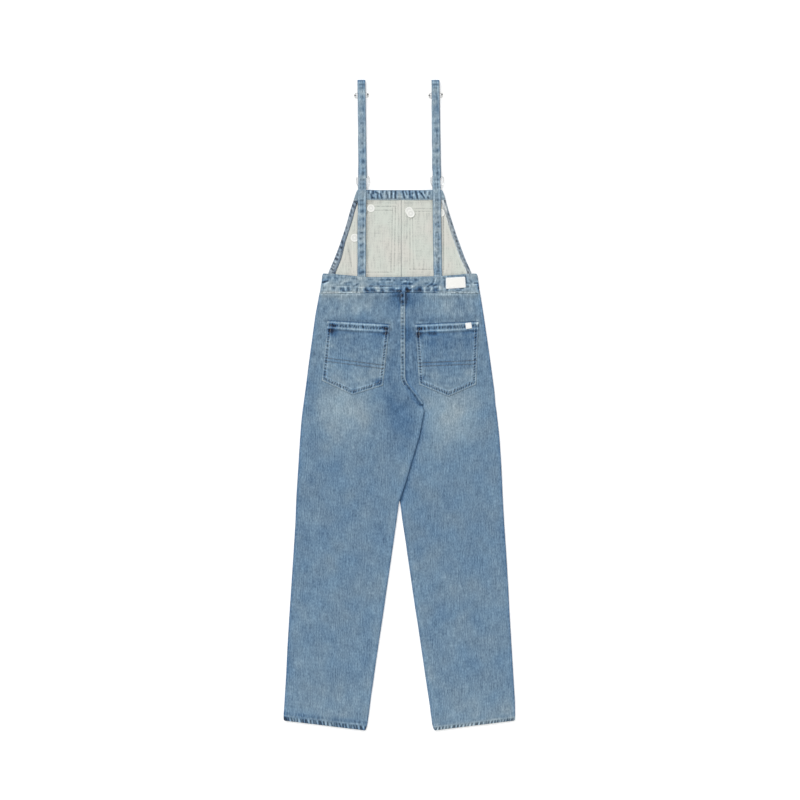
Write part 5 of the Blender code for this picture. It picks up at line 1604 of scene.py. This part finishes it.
class DUNGAREES_OT_sliders(bpy.types.Operator):
    """Shape the three-bar sliders, their middle bar raised over the strap's end"""

    bl_idname = "dungarees.sliders"
    bl_label = "Sliders"

    def execute(self, context):
        inner, outer = SLIDER_ROWS[3:5]
        columns, rows = len(SLIDER_COLUMNS) - 1, len(SLIDER_ROWS) - 1
        for name in SIDES:
            bm = bmesh.new()
            bmesh.ops.create_grid(bm, x_segments=columns, y_segments=rows, size=1.0)
            for vertex in bm.verts:
                x = SLIDER_COLUMNS[round((vertex.co.x + 1.0) / 2.0 * columns)]
                y = SLIDER_ROWS[round((vertex.co.y + 1.0) / 2.0 * rows)]
                share = (abs(y) - inner) / (outer - inner)
                arch = SLIDER_ARCH * (1.0 - min(max(share, 0.0), 1.0))
                if abs(y) == SLIDER_ROWS[-1]:
                    x = math.copysign(min(abs(x), SLIDER_CORNER), x)
                vertex.co = Vector((x, y, arch)) * MM
            middles = [(polygon, polygon.calc_center_median()) for polygon in bm.faces]
            slots = [polygon for polygon, middle in middles
                     if abs(middle.x) < MM and inner * MM < abs(middle.y) < outer * MM]
            bmesh.ops.delete(bm, geom=slots, context="FACES")
            swept = bmesh.ops.extrude_face_region(bm, geom=bm.faces[:], use_keep_orig=True)
            top = [item for item in swept["geom"] if isinstance(item, bmesh.types.BMVert)]
            bmesh.ops.translate(bm, vec=(0.0, 0.0, SLIDER_PLY * MM), verts=top)
            bmesh.ops.recalc_face_normals(bm, faces=bm.faces[:])
            edges = [edge for edge in bm.edges if edge.calc_face_angle(0.0) > 0.3]
            bmesh.ops.bevel(bm, geom=edges, offset=0.4 * MM, offset_type="OFFSET", segments=3, profile=0.5,
                            affect="EDGES", material=-1, clamp_overlap=True)
            for way in (-1.0, 1.0):
                middle = Vector((way * SLIDER_BEAD, 0.0, SLIDER_ARCH + SLIDER_PLY / 2.0)) * MM
                bead = Matrix.Translation(middle) @ Matrix.Diagonal((1.5, 1.25, 0.9, 1.0))
                made = bmesh.ops.create_uvsphere(bm, u_segments=16, v_segments=10, radius=BEAD * MM,
                                                 matrix=bead)
                # Dark beads: painted shade for the holes at the slider's ends
                for vertex in made["verts"]:
                    for polygon in vertex.link_faces:
                        polygon.material_index = 1
            turn = Matrix.Rotation(math.radians(SLIDER_TURN), 4, "Z")
            place = footing("slider_" + name)[0]
            bmesh.ops.transform(bm, matrix=Matrix.Translation(place) @ turn, verts=bm.verts[:])
            piece = finish_mesh(bm, "nickel_slider_" + name)
            piece.data.set_sharp_from_angle(angle=math.radians(40.0))
            piece.data.materials.append(MATERIALS["metal"])
            piece.data.materials.append(MATERIALS["painted_shade_metal"])
            settle(piece, None, ["slider_" + name])
        return {"FINISHED"}


# Sewing

def on_cloth(name, x, y):
    """The place of a point on the upper side of a piece of cloth, or None beside it."""
    hit = SURFACES[name].ray_cast(Vector((x * MM, y * MM, 0.05)), Vector((0.0, 0.0, -1.0)))
    return hit[0]


def along_line(corners, start, step):
    """Places every step along a line through corners."""
    points = np.array(corners, float)
    run = np.concatenate([[0.0], np.linalg.norm(np.diff(points, axis=0), axis=1).cumsum()])
    at = np.arange(start, run[-1], step)
    return np.stack([np.interp(at, run, points[:, 0]), np.interp(at, run, points[:, 1])], axis=1)


def sew(name, carrier, lines, material="thread", weight=1.0):
    """Raised threads along lines of (x, y) on a piece of cloth, joined as one piece."""
    sewing = bpy.context.scene.dungarees_sewing
    pitch, length, thread_size = sewing.pitch / MM, sewing.length / MM, weight * sewing.thread / 2.0
    whole = bmesh.new()
    for number, line in enumerate(lines):
        slack = np.random.default_rng(number + 7)
        bm = bmesh.new()
        starts, ends = along_line(line, 0.4, pitch), along_line(line, 0.4 + length, pitch)
        for start, end in zip(starts, ends):
            places = [on_cloth(carrier, *place) for place in (start, end)]
            if None in places:
                continue
            run = places[1] - places[0]
            turn = run.to_track_quat("X", "Z")
            wobble = Matrix.Rotation(slack.uniform(-0.08, 0.08), 4, "Z")
            size = Matrix.Diagonal((run.length / 2.0, thread_size, thread_size * 0.8, 1.0))
            middle = (places[0] + places[1]) / 2.0 + Vector((0.0, 0.0, thread_size * 0.35))
            matrix = Matrix.Translation(middle) @ wobble @ turn.to_matrix().to_4x4() @ size
            bmesh.ops.create_uvsphere(bm, u_segments=6, v_segments=4, radius=1.0, matrix=matrix)
        row = bpy.data.meshes.new(name)
        bm.to_mesh(row)
        bm.free()
        whole.from_mesh(row)
        bpy.data.meshes.remove(row)
    return settle(finish_mesh(whole, name), MATERIALS[material])


def inset(corners, distance):
    """A closed line of corners moved inwards, each side by the same distance (corners run clockwise)."""
    points = [Vector(place) for place in corners]
    moved = []
    for index, place in enumerate(points):
        before, after = points[index - 1], points[(index + 1) % len(points)]
        first = (place - before).normalized()
        last = (after - place).normalized()
        inward = Vector((first.y, -first.x)) + Vector((last.y, -last.x))
        moved.append(place + inward * distance / (1.0 + first.dot(last)))
    return moved


class DUNGAREES_OT_pocket_sewing(bpy.types.Operator):
    """Sew the back pockets: two rows round each, two along its hem and two across it"""

    bl_idname = "dungarees.pocket_sewing"
    bl_label = "Pocket stitches"

    def execute(self, context):
        for name in SIDES:
            ends = pocket_corners(name)
            ring = [ends[key] for key in ("top_left", "top_right", "foot_right", "point", "foot_left")]
            rings = [inset(ring, distance) for distance in POCKET_RINGS]
            lines = [moved[1:] + moved[:1] for moved in rings]
            lines += [across_pocket(ends, share, share) for share in POCKET_HEM_ROWS]
            sew("stitches_pocket_" + name, "cloth_pocket_" + name, lines)
            yoke = [across_pocket(ends, *row) for row in POCKET_YOKE[name]]
            sew("stitches_pocket_seam_" + name, "cloth_pocket_" + name, yoke, "tan_thread", 1.6)
        return {"FINISHED"}


class DUNGAREES_OT_seam_sewing(bpy.types.Operator):
    """Sew the seat seam, the waistband and the leg hems"""

    bl_idname = "dungarees.seam_sewing"
    bl_label = "Seam stitches"

    def execute(self, context):
        y = np.linspace(LEG_TOP["inner"], FOLD_START[0] + 44.0, 60)
        x = seat_line(y)
        slope = np.gradient(x, y)
        lean = SEAM_ROW / np.sqrt(1.0 + slope ** 2)
        rails = [np.stack([x + way * lean, y - way * slope * lean], axis=1) for way in (-1.0, 1.0)]
        sew("stitches_seat_seam", "cloth_seat_seam", rails)
        across = np.linspace(-188.0, 190.0, 60)
        low, high = (outline("waistband_back", 0, across, side) for side in (-1, 1))
        rows = [np.stack([across, row], axis=1) for row in (low + 3.0, high - 3.4, low + 16.0)]
        sew("stitches_waistband", "cloth_waistband_back", rows)
        for name, side in SIDES.items():
            outer_x = corner("back_leg_" + name, side, -1).x - side * OUTER_TRIM[side]
            outer = Vector((outer_x, LEG_FOOT["side"]))
            inner = Vector((corner("back_leg_" + name, -side, -4).x, LEG_FOOT["inner"]))
            up = (outer - inner).normalized().orthogonal()
            rise = up * (-HEMS[name].line if up.y < 0.0 else HEMS[name].line)
            row = [outer + rise, inner + rise]
            sew("stitches_hem_" + name, "cloth_back_" + name, [row], "worn_thread", 0.8)
        return {"FINISHED"}


class DUNGAREES_OT_bib_sewing(bpy.types.Operator):
    """Sew the bib's edges, its facing and the lines that hold its outer pockets"""

    bl_idname = "dungarees.bib_sewing"
    bl_label = "Bib stitches"

    def execute(self, context):
        for name, side in SIDES.items():
            lines = [line for line in BIB_LINES if (line[0][0] - BIB_SEAM) * side > 0.0]
            sew("stitches_bib_" + name, "cloth_bib_" + name, lines, "bib_thread")
            y = np.linspace(BIB_FOOT + 14.0, FACING_FOOT - 2.0, 30)
            row = outline("bib_" + name, 1, y, side) - side * (bib_hem_width(name, y) - 2.0)
            sew("stitches_bib_hem_" + name, "cloth_bib_hem_" + name, [np.stack([row, y], axis=1)], weight=0.7)
        height = FACING_FOOT + 2.4
        sew("stitches_facing", "cloth_bib_facing", [[(-108.0, height), (109.0, height)]])
        return {"FINISHED"}


class DUNGAREES_OT_strap_sewing(bpy.types.Operator):
    """Sew both edges of each strap"""

    bl_idname = "dungarees.strap_sewing"
    bl_label = "Strap stitches"

    def execute(self, context):
        for name in SIDES:
            rows = [(min(max(y, BIB_FOOT + 6.0), TOP_FOLD - 4.0), x) for y, x in STRAP_BEND[name]]
            lines = [[(x + way * (STRAP_WIDTH / 2.0 - 2.4), y) for y, x in rows] for way in (-1.0, 1.0)]
            sew("stitches_strap_" + name, "cloth_strap_" + name, lines)
        return {"FINISHED"}


# Camera, light and floor

FLOOR_REACH = 60.0                     # metres from the middle, as are the camera's place and sensor below
FLOOR_GLOW, SUN_STRENGTH, SKY_STRENGTH = 0.22, 1.5, 0.75
SUN_TURN = (-38.0, -30.0, 0.0)         # degrees, as the sun's breadth
SUN_BREADTH = 40.0
CAMERA_BESIDE = (0.0012, 0.0132)
SENSOR = 36.0                          # width of the camera's sensor


class DUNGAREES_OT_stage(bpy.types.Operator):
    """Set out the pale floor, the soft light and the camera straight above"""

    bl_idname = "dungarees.stage"
    bl_label = "Stage"

    view_width: length_property("View width", "Width of the view at the floor", 1.92)
    camera_height: length_property("Camera height", "Height of the camera", 4.0)

    def execute(self, context):
        bm = bmesh.new()
        bmesh.ops.create_grid(bm, x_segments=4, y_segments=4, size=FLOOR_REACH)
        floor = finish_mesh(bm, "floor", smooth=False)
        finish = Finish("white_floor")
        tooth = finish.noise(finish.place(), 900.0, 2.0)
        finish.fill(finish.shader, {"Base Color": (0.93, 0.93, 0.93, 1.0), "Roughness": 0.95,
                                    "Specular IOR Level": 0.1, "Emission Color": (1.0, 1.0, 1.0, 1.0),
                                    "Emission Strength": FLOOR_GLOW, "Normal": finish.bump(tooth, 0.00004)})
        floor.data.materials.append(finish.material)
        camera = bpy.data.objects.new("camera", bpy.data.cameras.new("camera"))
        camera.data.sensor_width = SENSOR
        camera.data.lens = SENSOR * self.camera_height / self.view_width
        camera.location = (*CAMERA_BESIDE, self.camera_height)
        context.scene.collection.objects.link(camera)
        context.scene.camera = camera
        lamp = bpy.data.lights.new("softbox", "SUN")
        lamp.energy = SUN_STRENGTH
        lamp.angle = math.radians(SUN_BREADTH)
        softbox = bpy.data.objects.new("softbox", lamp)
        softbox.rotation_euler = [math.radians(turn) for turn in SUN_TURN]
        context.scene.collection.objects.link(softbox)
        world = bpy.data.worlds.new("studio")
        context.scene.world = world
        world.use_nodes = True
        sky = world.node_tree.nodes["Background"].inputs
        sky["Color"].default_value = (1.0, 1.0, 1.0, 1.0)
        sky["Strength"].default_value = SKY_STRENGTH
        context.scene.view_settings.view_transform = "Standard"
        return {"FINISHED"}


OPERATORS = (
    DUNGAREES_OT_stage,
    DUNGAREES_OT_materials,
    DUNGAREES_OT_backs,
    DUNGAREES_OT_fronts,
    DUNGAREES_OT_seat_seam,
    DUNGAREES_OT_waistband,
    DUNGAREES_OT_back_pockets,
    DUNGAREES_OT_labels,
    DUNGAREES_OT_bib,
    DUNGAREES_OT_straps,
    DUNGAREES_OT_discs,
    DUNGAREES_OT_buttons,
    DUNGAREES_OT_buckles,
    DUNGAREES_OT_sliders,
    DUNGAREES_OT_pocket_sewing,
    DUNGAREES_OT_seam_sewing,
    DUNGAREES_OT_bib_sewing,
    DUNGAREES_OT_strap_sewing,
)
GROUPS = {"dungarees_cloth": DungareesCloth, "dungarees_colours": DungareesColours,
          "dungarees_sewing": DungareesSewing}


class DUNGAREES_PT_panel(bpy.types.Panel):
    """The sizes, the colours and a button for each group of pieces"""

    bl_idname = "DUNGAREES_PT_panel"
    bl_label = "Denim dungarees"
    bl_space_type = "VIEW_3D"
    bl_region_type = "UI"
    bl_category = "Dungarees"

    def draw(self, context):
        for name, group in GROUPS.items():
            box = self.layout.box()
            for key in group.__annotations__:
                box.prop(getattr(context.scene, name), key)
        for operator in OPERATORS:
            self.layout.operator(operator.bl_idname)


def register():
    for item in (*GROUPS.values(), *OPERATORS, DUNGAREES_PT_panel):
        bpy.utils.register_class(item)
    for name, group in GROUPS.items():
        setattr(bpy.types.Scene, name, PointerProperty(type=group))


def unregister():
    for name in GROUPS:
        delattr(bpy.types.Scene, name)
    for item in (DUNGAREES_PT_panel, *reversed(OPERATORS), *reversed(GROUPS.values())):
        bpy.utils.unregister_class(item)


def main():
    register()
    for operator in OPERATORS:
        getattr(bpy.ops.dungarees, operator.bl_idname.split(".")[1])()


if __name__ == "__main__":
    main()
